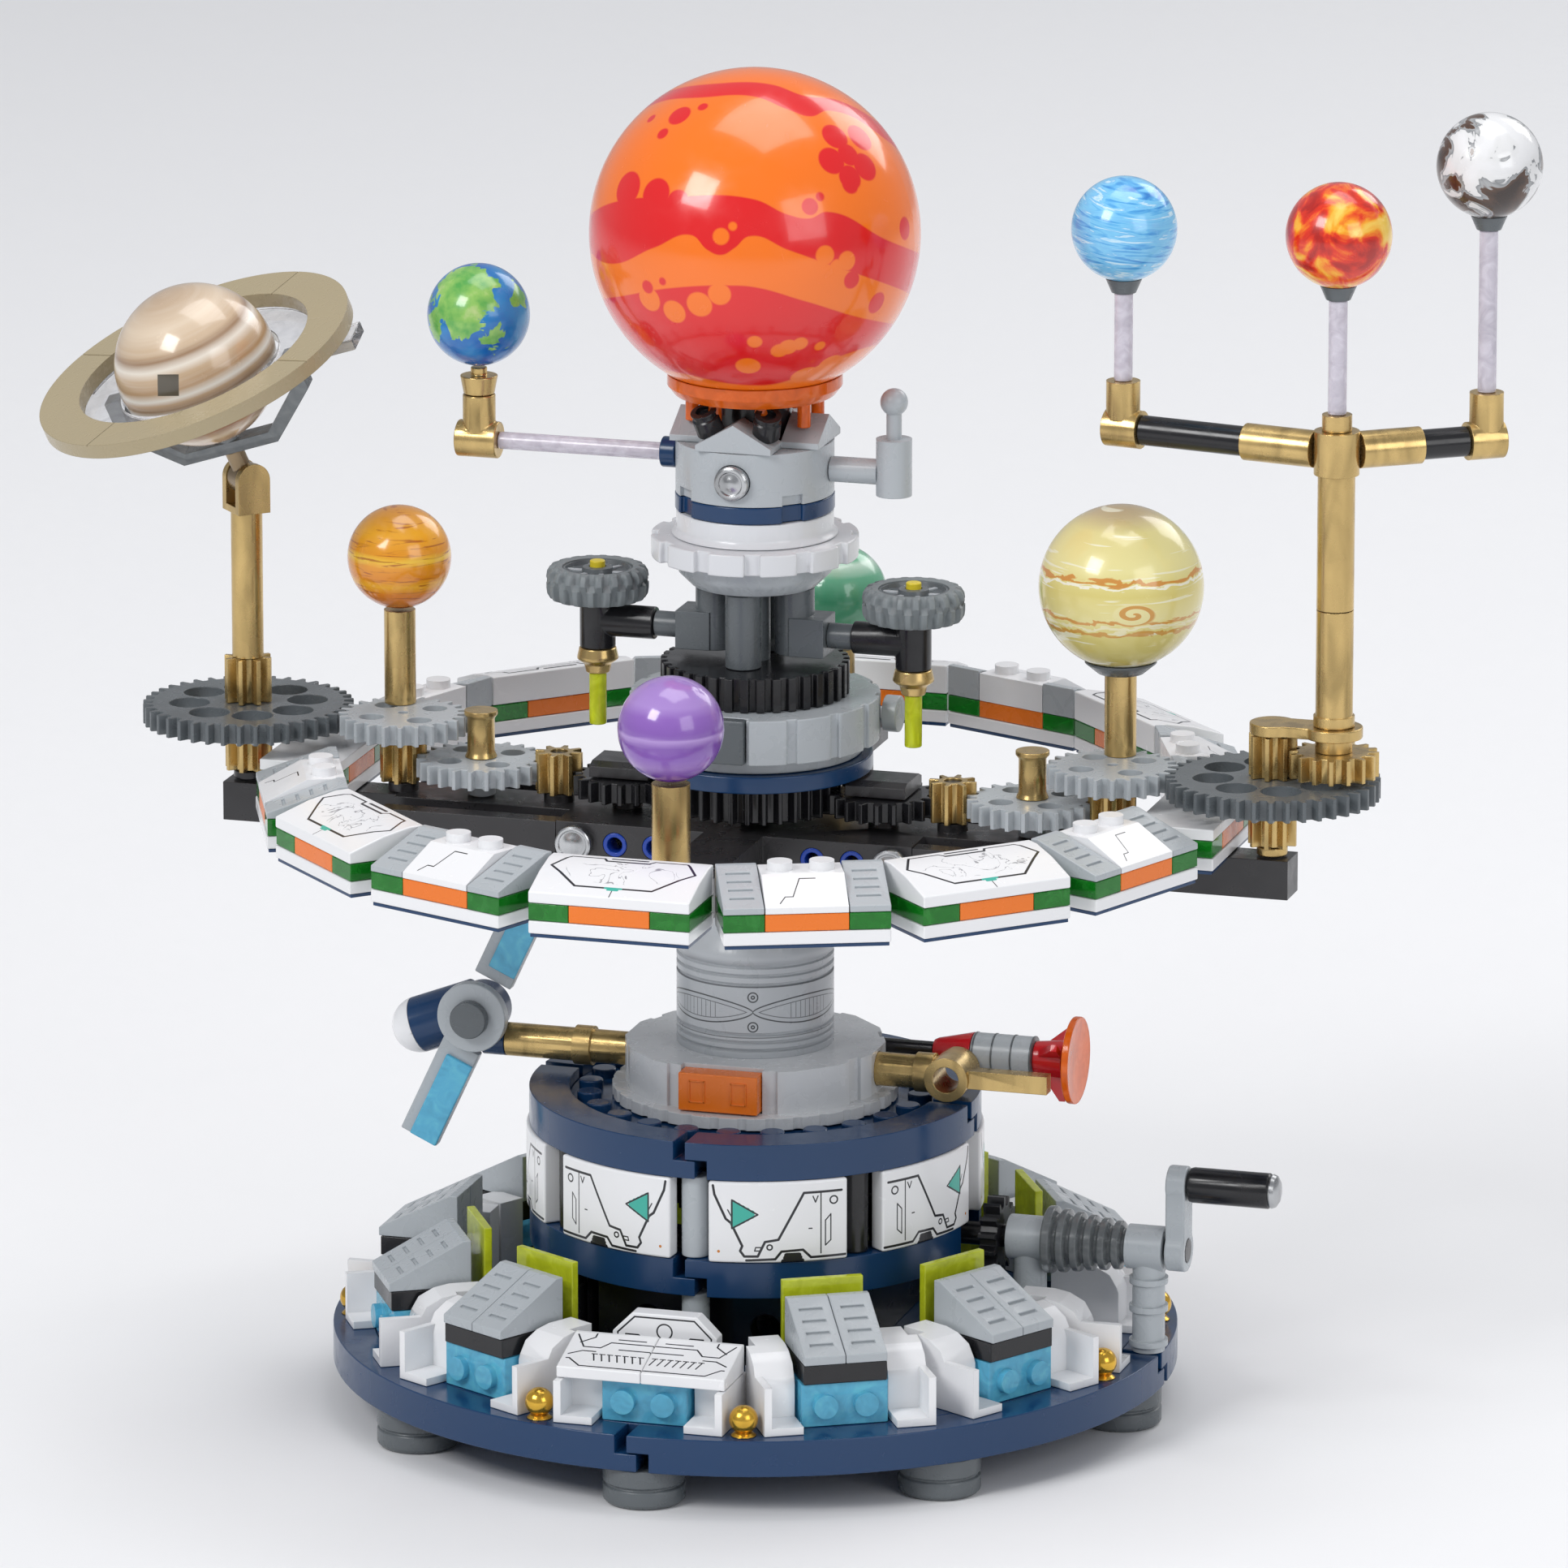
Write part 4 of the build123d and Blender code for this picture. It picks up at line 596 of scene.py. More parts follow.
def purple_paint(centre):
    """Soft violet bands, deeper towards the bottom."""
    paint = Globe("purple_paint", centre)
    stops = [(0.0, (0.16, 0.04, 0.36)), (0.12, (0.25, 0.09, 0.50)), (0.2, (0.42, 0.24, 0.66)),
             (0.3, (0.30, 0.14, 0.56)), (0.42, (0.24, 0.10, 0.46)), (0.5, (0.46, 0.30, 0.68)),
             (0.53, (0.25, 0.11, 0.47)), (0.7, (0.28, 0.13, 0.50)), (0.8, (0.40, 0.25, 0.62)),
             (1.0, (0.36, 0.21, 0.58))]
    return paint.moulded(paint.banded(stops, 0.05, 6.0), 0.18)


def green_paint(centre):
    """Sea-green with a pale cap and soft bands."""
    paint = Globe("green_paint", centre)
    stops = [(0.0, (0.02, 0.16, 0.09)), (0.2, (0.05, 0.27, 0.15)), (0.35, (0.12, 0.42, 0.24)),
             (0.55, (0.06, 0.30, 0.16)), (0.75, (0.14, 0.45, 0.27)), (0.86, (0.55, 0.75, 0.62)),
             (0.9, (0.16, 0.46, 0.28)), (1.0, (0.2, 0.5, 0.32))]
    return paint.moulded(paint.banded(stops, 0.05, 6.0), 0.18)


def orange_paint(centre):
    """Amber bands with ragged yellow and brown streaks."""
    paint = Globe("orange_paint", centre)
    stops = [(0.0, (0.55, 0.12, 0.01)), (0.2, (0.80, 0.24, 0.01)), (0.3, (0.92, 0.45, 0.03)),
             (0.38, (0.80, 0.27, 0.01)), (0.5, (0.86, 0.34, 0.01)), (0.56, (0.97, 0.62, 0.06)),
             (0.62, (0.85, 0.33, 0.01)), (0.8, (0.92, 0.44, 0.03)), (1.0, (0.72, 0.3, 0.03))]
    base = paint.banded(stops, 0.09, 6.0)
    streak = paint.streaks(12.0, 6.0, 0.8, 1.3)
    brown = paint.span(streak, 0.56, 0.64, 0.0, 0.8)
    return paint.moulded(paint.mix(brown, base, (0.42, 0.10, 0.01)), 0.2)


def jupiter_paint(centre):
    """Creamy yellow with thin white lines, two belts of orange curls and a swirl."""
    paint = Globe("jupiter_paint", centre)
    wave = paint.streaks(2.2, 3.0, 1.6, 2.2)
    shift = paint.times(paint.minus(wave, 0.5), 0.22)
    level = paint.calc("ADD", paint.height, shift)
    stops = [(0.0, (0.42, 0.33, 0.07)), (0.12, (0.66, 0.56, 0.16)), (0.3, (0.74, 0.64, 0.22)),
             (0.4, (0.80, 0.72, 0.32)), (0.55, (0.72, 0.62, 0.20)), (0.7, (0.80, 0.73, 0.33)),
             (0.9, (0.74, 0.66, 0.28)), (0.97, (0.55, 0.44, 0.24)), (1.0, (0.5, 0.38, 0.2))]
    base = paint.banded(stops, 0.03, 6.0)
    lines = paint.streaks(16.0, 2.0, 0.3, 1.0)
    colour = paint.mix(paint.span(lines, 0.60, 0.64, 0.0, 0.8), base, (0.88, 0.86, 0.66))
    for middle, reach, tint in ((0.26, 0.030, (0.62, 0.24, 0.03)), (0.20, 0.020, (0.90, 0.88, 0.74)),
                                (-0.24, 0.022, (0.64, 0.28, 0.05)),
                                (-0.38, 0.028, (0.62, 0.30, 0.05)), (-0.31, 0.018, (0.86, 0.80, 0.52))):
        gap = paint.size(paint.minus(level, middle))
        colour = paint.mix(paint.span(gap, reach * 0.7, reach, 0.9, 0.0), colour, tint)
    eye = facing(0.13, -0.36)
    offset = paint.vec("SUBTRACT", paint.direction, tuple(eye))
    across = paint.vec("DOT_PRODUCT", offset, tuple(RIGHT))
    over = paint.times(paint.vec("DOT_PRODUCT", offset, tuple(OVER)), 2.0)
    reach = paint.calc("SQRT", paint.calc("ADD", paint.times(across, across), paint.times(over, over)))
    turn = paint.calc("ARCTAN2", over, across)
    spiral = paint.calc("SINE", paint.calc("ADD", turn, paint.times(reach, 34.0)))
    inside = paint.span(reach, 0.24, 0.27, 1.0, 0.0)
    curl = paint.times(paint.span(spiral, 0.15, 0.35), inside)
    colour = paint.mix(inside, colour, (0.80, 0.72, 0.34))
    return paint.moulded(paint.mix(curl, colour, (0.62, 0.30, 0.05)), 0.2)


def saturn_paint(centre, axis):
    """Cream, brown and brick bands square to the ring's axis, with one dark printed square."""
    paint = Globe("saturn_paint", centre, axis)
    stops = [(0.0, (0.42, 0.24, 0.12)), (0.10, (0.50, 0.31, 0.16)), (0.14, (0.70, 0.56, 0.40)),
             (0.2, (0.34, 0.18, 0.09)), (0.24, (0.45, 0.09, 0.03)), (0.29, (0.50, 0.11, 0.03)),
             (0.31, (0.70, 0.54, 0.38)), (0.38, (0.48, 0.31, 0.17)), (0.42, (0.84, 0.79, 0.70)),
             (0.46, (0.36, 0.22, 0.12)), (0.50, (0.56, 0.38, 0.22)), (0.53, (0.90, 0.86, 0.78)),
             (0.58, (0.48, 0.30, 0.16)), (0.66, (0.60, 0.43, 0.27)), (0.71, (0.86, 0.79, 0.69)),
             (0.76, (0.34, 0.21, 0.12)), (0.80, (0.60, 0.44, 0.29)), (0.9, (0.72, 0.58, 0.43)),
             (1.0, (0.50, 0.36, 0.24))]
    colour = paint.banded(stops, 0.012, 7.0)
    fine = paint.streaks(26.0, 2.0, 0.1, 1.0)
    colour = paint.mix(paint.span(fine, 0.4, 0.7, 0.0, 0.14), colour, (0.86, 0.80, 0.70))
    offset = paint.vec("SUBTRACT", paint.direction, tuple(facing(-.3, -.28)))
    across = paint.size(paint.vec("DOT_PRODUCT", offset, tuple(RIGHT)))
    over = paint.size(paint.vec("DOT_PRODUCT", offset, tuple(OVER)))
    square = paint.calc("LESS_THAN", paint.most(across, over), 0.13)
    near = paint.calc("LESS_THAN", paint.vec("LENGTH", offset), 0.3)
    return paint.moulded(paint.mix(paint.times(square, near), colour, (0.10, 0.085, 0.06)), 0.2)


# ---------------------------------------------------------------- pieces
def finish_mesh(piece, material, bevel=0.25, smooth=32.0):
    """Material, shading and rounded edges for a new piece."""
    mesh = piece.data
    mesh.materials.clear()
    mesh.materials.append(material)
    mesh.shade_smooth()
    mesh.set_sharp_from_angle(angle=math.radians(smooth))
    if bevel:
        rounding = piece.modifiers.new("rounding", "BEVEL")
        rounding.width, rounding.segments = bevel * MM, 2
        rounding.limit_method, rounding.angle_limit = "ANGLE", math.radians(40)
        rounding.harden_normals = True
    return piece


def add_piece(name, shape, material, body, bevel=0.25, smooth=32.0):
    """A new piece from a bmesh in metres, riding on a CAD body."""
    mesh = bpy.data.meshes.new(name)
    shape.to_mesh(mesh)
    shape.free()
    piece = bpy.data.objects.new(name, mesh)
    bpy.context.scene.collection.objects.link(piece)
    finish_mesh(piece, material, bevel, smooth)
    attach(piece, body)
    return piece


def islands(shape):
    """The separate solids in a mesh, as lists of faces with their boxes in mm."""
    left = set(shape.faces)
    found = []
    while left:
        grown, edge = set(), [left.pop()]
        while edge:
            face = edge.pop()
            grown.add(face)
            for vert in face.verts:
                for other in vert.link_faces:
                    if other in left:
                        left.remove(other)
                        edge.append(other)
        points = [v.co / MM for f in grown for v in f.verts]
        low = Vector(tuple(min(p[i] for p in points) for i in range(3)))
        high = Vector(tuple(max(p[i] for p in points) for i in range(3)))
        found.append((grown, low, high))
    return found


def node_shape(node):
    """A CAD node's mesh, with its faces joined at their edges."""
    shape = bmesh.new()
    shape.from_mesh(NODES[node].data)
    bmesh.ops.remove_doubles(shape, verts=shape.verts, dist=0.002 * MM)
    shape.faces.index_update()
    return shape


def rebuild(node, kinds, bevel=0.25):
    """Pieces that stand for a CAD node.

    kinds is a list of (name, material, slot, test), and a solid goes to the first kind whose test of
    its (middle, size), in mm, is true.  The flat faces of each piece are made whole.
    """
    whole = node_shape(node)
    faces = {kind[0]: [] for kind in kinds}
    for grown, low, high in islands(whole):
        for name, _, _, test in kinds:
            if test is None or test((low + high) / 2, high - low):
                faces[name] += [face.index for face in grown]
                break
    made = {}
    for name, material, slot, _ in kinds:
        if not faces[name]:
            continue
        shape = whole.copy()
        own = set(faces[name])
        bmesh.ops.delete(shape, geom=[f for k, f in enumerate(shape.faces) if k not in own], context="FACES")
        bmesh.ops.dissolve_limit(shape, angle_limit=math.radians(0.6), verts=shape.verts, edges=shape.edges)
        piece = add_piece(name, shape, material, NODES[node]["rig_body"], bevel)
        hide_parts(node)
        made[name] = piece
    whole.free()
    return made


def one_piece(node, name, material, slot, bevel=0.25):
    """One piece that stands for a whole CAD node."""
    rebuild(node, [(name, material, slot, None)], bevel)


def keep(node, material):
    """A CAD node that stays as it is, with a better material."""
    mesh = NODES[node].data
    mesh.materials.clear()
    mesh.materials.append(material)


def lathe(profile, origin, axis, segments=64, radius_at=None, hollow=False):
    """A solid of revolution from (radius, height) points, in mm, about an axis from origin.

    A hollow one has its last row joined to its first, as a ring.
    """
    shape = bmesh.new()
    turn = Vector(axis).normalized().to_track_quat("Z", "X").to_matrix()
    rings = []
    for row, (radius, height) in enumerate(profile):
        ring = []
        for k in range(segments):
            angle = math.tau * k / segments
            r = radius_at(row, radius, angle) if radius_at else radius
            point = Vector(origin) + turn @ Vector((r * math.cos(angle), r * math.sin(angle), height))
            ring.append(shape.verts.new(point * MM))
        rings.append(ring)
    for low, high in zip(rings, rings[1:] + (rings[:1] if hollow else [])):
        for k in range(segments):
            after = (k + 1) % segments
            shape.faces.new((low[k], low[after], high[after], high[k]))
    if not hollow:
        shape.faces.new(rings[0][::-1])
        shape.faces.new(rings[-1])
    bmesh.ops.recalc_face_normals(shape, faces=shape.faces)
    return shape


def merged(shapes):
    """Several bmeshes as one."""
    mesh = bpy.data.meshes.new("part")
    whole = bmesh.new()
    for shape in shapes:
        shape.to_mesh(mesh)
        shape.free()
        whole.from_mesh(mesh)
    bpy.data.meshes.remove(mesh)
    return whole


def box(size, centre, turn=None):
    """A block in mm, turned about its own middle and then moved."""
    shape = bmesh.new()
    bmesh.ops.create_cube(shape, size=1.0)
    stretch = Matrix.Diagonal((*(Vector(size) * MM), 1.0))
    move = Matrix.Translation(Vector(centre) * MM)
    matrix = move @ (turn or Matrix.Identity(4)) @ stretch
    bmesh.ops.transform(shape, matrix=matrix, verts=shape.verts)
    return shape


def turned_about_axis(shape, degrees):
    matrix = Matrix.Rotation(math.radians(degrees), 3, "Z")
    bmesh.ops.rotate(shape, verts=shape.verts, cent=(0, 0, 0), matrix=matrix)
    return shape


def carve(piece, cutters):
    """Cuts the cutters' shape out of a piece, and keeps its bevel last."""
    mesh = bpy.data.meshes.new("cutters")
    cutters.to_mesh(mesh)
    cutters.free()
    knife = bpy.data.objects.new("cutters", mesh)
    bpy.context.scene.collection.objects.link(knife)
    cut = piece.modifiers.new("cut", "BOOLEAN")
    cut.object, cut.operation, cut.solver = knife, "DIFFERENCE", "EXACT"
    rounding = piece.modifiers.get("rounding")
    if rounding:
        rounding.show_viewport = False
    bpy.context.view_layer.update()
    result = bpy.data.meshes.new_from_object(piece.evaluated_get(bpy.context.evaluated_depsgraph_get()))
    if rounding:
        rounding.show_viewport = True
    piece.modifiers.remove(cut)
    piece.data = result
    result.shade_smooth()
    result.set_sharp_from_angle(angle=math.radians(32))
    bpy.data.objects.remove(knife)


def flat_radius(point):
    return math.hypot(point.x, point.y)


def module_offset(point, step, offset=-90.0):
    """How far a point lies across its module of the ring, in mm."""
    turns = (math.degrees(math.atan2(point.y, point.x)) - offset) / step
    return flat_radius(point) * math.sin(math.radians((turns - round(turns)) * step))


# ---------------------------------------------------------------- base
one_piece("feet", "feet_rubber", DARK_GREY, "dark_grey", 0.3)
one_piece("base_disc", "base_rim", NAVY, "dark_blue", 0.3)
one_piece("wall_brackets", "brackets", WHITE, "white", 0.35)
one_piece("window_bricks", "windows", CLEAR_BLUE, "clear_blue", 0.3)
one_piece("lime_panels", "lime_screens", CLEAR_LIME, "clear_lime", 0.2)
keep("gold_balls", BRIGHT_GOLD)
keep("drive_tube", BLACK)
keep("sun_shaft", DARK_GREY)

slopes = rebuild("vent_slopes", [
    ("vent_plates", BLACK, "black", lambda middle, size: middle.z < 27.0),
    ("vents", LIGHT_GREY, "light_grey", None),
], 0.18)
slope_lean = Matrix.Rotation(math.atan2(37.0 - 29.4, 14.8), 4, "X")
slots = []
for k in range(12):
    if k in (0, 3):
        continue
    for side in (-1, 1):
        for step in range(4):
            share = 0.2 + 0.2 * step
            slot_at = (side * 4.12, -75.2 + 14.8 * share, 29.4 + 7.6 * share)
            slots.append(turned_about_axis(box((4.6, 0.7, 1.2), slot_at, slope_lean), 30 * k))
carve(slopes["vents"], merged(slots))

rebuild("nameplate", [
    ("emblem", emblem_print(), "white", lambda middle, size: size.y < 5.0),
    ("nameplate_halves", nameplate_print(), "white", None),
], 0.25)

def drum_axle(middle, size):
    """Whether a solid is one of the upright axles between the drum's panels."""
    return size.x < 5.6 and size.y < 5.6 and abs(flat_radius(middle) - 40.3) < 0.5


def on_diagonal(middle):
    return abs(abs(middle.x) - abs(middle.y)) < 3


rebuild("gearbox_frame", [
    ("drum_dark_axles", BLACK, "black", lambda middle, size: drum_axle(middle,
            size) and on_diagonal(middle)),
    ("drum_axles", LIGHT_GREY, "light_grey", drum_axle),
    ("gearbox", BLACK, "black", None),
])
one_piece("drum_rings", "drum_rim", NAVY, "dark_blue", 0.3)
one_piece("drum_panels", "drum_shells", drum_print(), "white", 0.5)

studs = []
for k in range(24):
    angle = math.radians(15 * k + 7.5)
    spot = (32.6 * math.cos(angle), 32.6 * math.sin(angle), 60.6)
    studs.append(lathe([(2.4, 0.0), (2.4, 1.5), (2.2, 1.7)], spot, UP, 20))
add_piece("drum_studs", merged(studs), NAVY, "base", 0.0)

rebuild("crank_supports", [
    ("bellows_core", SMOKE, "dark_grey", lambda middle, size: 60 < middle.x < 76 and size.x > 12),
    ("supports", LIGHT_GREY, "light_grey", None),
])

keep("crank_axle", BLACK)
one_piece("crank_arm", "crank_lever", LIGHT_GREY, "light_grey", 0.4)
grip_low, grip_high = (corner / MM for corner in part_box("crank_grip"))
grip_start = Vector((grip_low.x, (grip_low.y + grip_high.y) / 2, (grip_low.z + grip_high.z) / 2))
grip_reach = (grip_high.z - grip_low.z) / 2
grip_length = grip_high.x - grip_low.x
grip = add_piece("grip_tube", lathe([(grip_reach - 0.9, 0.0), (grip_reach - 0.2, 0.25), (grip_reach, 0.9),
                                     (grip_reach, grip_length - 2.2),
                                     (grip_reach - 0.25, grip_length - 1.9)], grip_start, (1, 0, 0)), BLACK,
                 "grip", 0.0)
grip_cap = add_piece("grip_cap", lathe([(grip_reach - 0.3, grip_length - 1.9),
                                        (grip_reach - 0.12, grip_length - 1.5),
                                        (grip_reach - 0.4, grip_length - 0.8),
                                        (grip_reach - 1.3, grip_length - 0.25), (0.4, grip_length - 0.02)],
                                       grip_start, (1, 0, 0)), SILVER, "grip", 0.0)
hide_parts("crank_grip")
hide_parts("crank_grip")

# ---------------------------------------------------------------- carrier
rebuild("waist", [
    ("waist_orange", ORANGE, "orange", lambda middle, size: abs(middle.y) > 20),
    ("waist_scallop", WHITE, "light_grey", lambda middle, size: middle.z < 62.5),
    ("waist_body", PALE_GREY, "light_grey", None),
], 0.3)
frames = []
for heading in (0, 180):
    for x in (-4.2, 4.2):
        for size, spot in (((3.0, 0.3, 0.3), (x, -25.75, 69.8)), ((3.0, 0.3, 0.3), (x, -25.75, 65.6)),
                           ((0.3, 0.3, 4.4), (x - 1.5, -25.75, 67.7)),
                           ((0.3, 0.3, 4.4), (x + 1.5, -25.75, 67.7))):
            frames.append(turned_about_axis(box(size, spot), heading))
add_piece("waist_frames", merged(frames), ORANGE, "carrier", 0.0)
one_piece("ridged_sleeve", "sleeve", sleeve_print(), "light_grey", 0.0)
one_piece("beams", "beam_work", BEAM_BLACK, "black", 0.3)
rebuild("beam_fittings", [
    ("beam_pins", PIN_BLUE, "dark_blue", lambda middle, size: abs(middle.x) < 26),
    ("beam_caps", SILVER, "light_grey", lambda middle, size: abs(middle.x) < 40),
    ("holder_link", GOLD, "gold", lambda middle, size: size.x > 12),
    ("outer_axles", BLACK, "black", None),
])
rivets = []
for x in (-32.0, 32.0):
    for side in (-1, 1):
        rivets.append(lathe([(3.6, 0.0), (3.6, 0.35), (3.3, 0.6), (2.9, 0.6), (2.7, 0.3), (2.2, 0.3),
                             (1.5, 0.7), (0.3, 0.85)],
                            (x, side * 16.7, 113.0), (0, side, 0), 40))
add_piece("beam_rivets", merged(rivets), SILVER, "carrier", 0.0)
one_piece("gold_arms", "gold_bars", GOLD, "gold", 0.3)
under_layer = [turned_about_axis(box((31.2, 15.2, 0.7), (0, -88.4, 116.6)), 22.5 * k) for k in range(16)]
add_piece("ring_under", merged(under_layer), NAVY, "carrier", 0.1)
one_piece("ring_plates", "ring_base", WHITE, "white", 0.3)
one_piece("ring_lights", "ring_glass", CLEAR_GREEN, "clear_green", 0.15)
one_piece("ring_orange", "ring_stripe", ORANGE, "orange", 0.15)
one_piece("ring_panels", "ring_covers", ring_print(), "white", 0.3)


def beside_ridge(middle, size):
    """Whether a solid of the ring's slopes is one of the slotted ones, off the middle of its module."""
    return abs(module_offset(middle, 45.0, -67.5)) > 6


ring = rebuild("ring_slopes", [
    ("ring_low", WHITE, "white", lambda middle, size: size.z < 2.5),
    ("ring_vents", LIGHT_GREY, "light_grey", beside_ridge),
    ("ring_ridges", ridge_print(), "white", None),
], 0.18)
vent_lean = Matrix.Rotation(math.atan2(4.8, 14.3), 4, "X")
slots = []
for k in range(1, 16, 2):
    for side in (-12.0, 12.0):
        for step in range(4):
            share = 0.24 + 0.19 * step
            slot_at = (side, -96.3 + 14.3 * share, 124.2 + 4.8 * share)
            slots.append(turned_about_axis(box((4.6, 0.6, 1.0), slot_at, vent_lean), 22.5 * k))
carve(ring["ring_vents"], merged(slots))

rebuild("station_body", [
    ("station_dish", LIGHT_GREY, "light_grey", lambda middle, size: size.y < 2.6 and middle.y > -8),
    ("station_knob", DARK_GREY, "dark_grey", lambda middle, size: middle.y < -8),
    ("station_end", WHITE, "white", lambda middle, size: middle.x < -68 and size.x < 12),
    ("station_hub", BLACK, "black", lambda middle, size: middle.x > -57 and middle.z > 70),
    ("station_stub", BLACK, "black", lambda middle, size: middle.z < 69 and middle.x > -60),
    ("station_hull", NAVY, "dark_blue", None),
])
rebuild("station_panels", [
    ("station_glass", CLEAR_BLUE, "clear_blue", lambda middle, size: middle.y < -3.5),
    ("station_strips", LIGHT_GREY, "light_grey", None),
])
rebuild("rocket", [
    ("rocket_bar", BLACK, "black", lambda middle, size: middle.x < 30),
    ("rocket_flame", CLEAR_ORANGE, "orange", lambda middle, size: size.x < 3.5 and size.z > 12),
    ("rocket_hull", LIGHT_GREY, "light_grey", lambda middle, size: 44 < middle.x < 52),
    ("rocket_red", RED, "red", None),
])

rocket_ribs = [lathe([(3.7, 0.0), (4.12, 0.12), (4.12, 0.42), (3.7, 0.54)], (x, 9.0, 70.0), (1, 0, 0),
                     48) for x in (42.2, 46.1, 50.0, 53.9)]
add_piece("rocket_ribs", merged(rocket_ribs), DARK_GREY, "rocket", 0.0)

# ---------------------------------------------------------------- column
one_piece("sun_gear", "column_gears", BLACK, "black", 0.2)
rebuild("column_housing", [
    ("column_blue", NAVY, "dark_blue", lambda middle, size: size.z < 3.6 and middle.z < 130),
    ("column_plate", LIGHT_GREY, "light_grey", lambda middle, size: size.z < 3.0),
    ("column_grille", DARK_GREY, "dark_grey", lambda middle, size: size.x < 12 and middle.y < -20),
    ("column_drum", LIGHT_GREY, "light_grey", None),
], 0.35)
rebuild("wheel_arms", [
    ("arm_cones", GOLD, "gold", lambda middle, size: middle.z < 148.5 and middle.z > 143.0 and size.z < 6),
    ("arm_lamps", CLEAR_LIME, "clear_lime", lambda middle, size: middle.z < 143.0),
    ("arm_axles", YELLOW, "clear_lime", lambda middle, size: size.x < 3.3 and size.y < 3.3),
    ("arm_black", BLACK, "black", lambda middle, size: abs(middle.x) > 22),
    ("arm_grey", DARK_GREY, "dark_grey", None),
])
rebuild("column_flange", [
    ("flange_dish", LIGHT_GREY, "light_grey", lambda middle, size: middle.z < 169),
    ("flange_white", WHITE_GREY, "white", None),
], 0.4)


def cradle_part(middle, size):
    """Whether a solid of the column's head is the orange cup under the sun, or one of its legs."""
    return middle.z > 196 and flat_radius(middle) < 16 and (size.x > 20 or size.x < 2.8)


rebuild("column_head", [
    ("head_band", NAVY, "dark_blue", lambda middle, size: middle.z < 182),
    ("head_stud", SILVER, "light_grey", lambda middle, size: size.y < 3.0 and size.x < 8 and middle.y < -12),
    ("head_cradle", CLEAR_ORANGE, "orange", cradle_part),
    ("head_core", BLACK, "black", lambda middle,
     size: size.x < 15 and flat_radius(middle) < 2 and size.z > 7.5),
    ("head_grey", LIGHT_GREY, "light_grey", None),
], 0.3)
connectors = []
for side in (-1, 1):
    lean = Vector((side * 0.22, -0.42, 1.0)).normalized()
    connectors.append(lathe([(2.2, 0.0), (2.7, 0.3), (2.7, 3.6), (2.3, 3.9), (2.3, 4.6), (2.6, 4.8),
                             (2.6, 5.2), (1.5, 5.3), (1.5, 4.4), (0.3, 4.3)],
                            Vector((side * 5.5, -11.0, 195.6)), lean, 28))
add_piece("head_connectors", merged(connectors), BLACK, "column", 0.0)
add_piece("head_rivet", lathe([(3.3, 0.0), (3.3, 0.2), (2.9, 0.45), (2.4, 0.45), (2.2, 0.2), (1.6, 0.2),
                               (1.1, 0.5), (0.3, 0.6)],
                              (0, -16.35, 187.0), (0, -1, 0), 40), SILVER, "column", 0.0)
rebuild("earth_arm", [
    ("earth_stub", NAVY, "dark_blue", lambda middle, size: middle.x > -20),
    ("earth_rod", CLEAR, "clear_blue", lambda middle, size: size.x > 20),
    ("earth_cup", GOLD, "gold", None),
])


def tyre_radius(row, radius, angle):
    """Chunky lugs round the tread, the lower half set half a lug on from the upper one."""
    depth = (0.0, 0.35, 1.0, 1.25, 1.25, 0.7, 1.25, 1.25, 1.0, 0.35, 0.0)[row]
    turn = 19 * angle + (math.pi if row > 5 else 0.0)
    return radius - depth * (0.5 - 0.5 * max(-1.0, min(1.0, 2.6 * math.sin(turn))))


tyre_profile = [(6.9, 0.3), (8.4, 0.0), (9.3, 0.3), (9.85, 1.2), (10.0, 2.2), (10.0, 3.3), (10.0, 4.4),
                (9.85, 5.4), (9.3, 6.3), (8.4, 6.6), (6.9, 6.3)]
for side, name in ((-32.0, "wheel_left"), (32.0, "wheel_right")):
    wheel_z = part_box(name)[0].z / MM
    tyre = add_piece(name + "_tyre", lathe(tyre_profile, (side, 0, wheel_z), UP, 264, tyre_radius, True),
                     TYRE, name, 0.0, 40.0)
    hub_rows = [(6.95, 0.5), (6.95, 6.0), (6.3, 6.2), (6.0, 5.3), (3.2, 5.1), (2.9, 6.3), (1.7, 6.4),
                (1.7, 5.0)]
    hub = add_piece(name + "_hub", lathe(hub_rows, (side, 0, wheel_z), UP, 64), DARK_GREY, name,
                    0.0)
    spokes = [box((3.4, 1.0, 0.5), (side + 4.6 * math.cos(a), 4.6 * math.sin(a), wheel_z + 5.3),
                  Matrix.Rotation(a, 4, "Z"))
              for a in (math.tau * k / 6 for k in range(6))]
    add_piece(name + "_spokes", merged(spokes), LIGHT_GREY, name, 0.1)
    for piece in (tyre, hub):
        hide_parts(name)

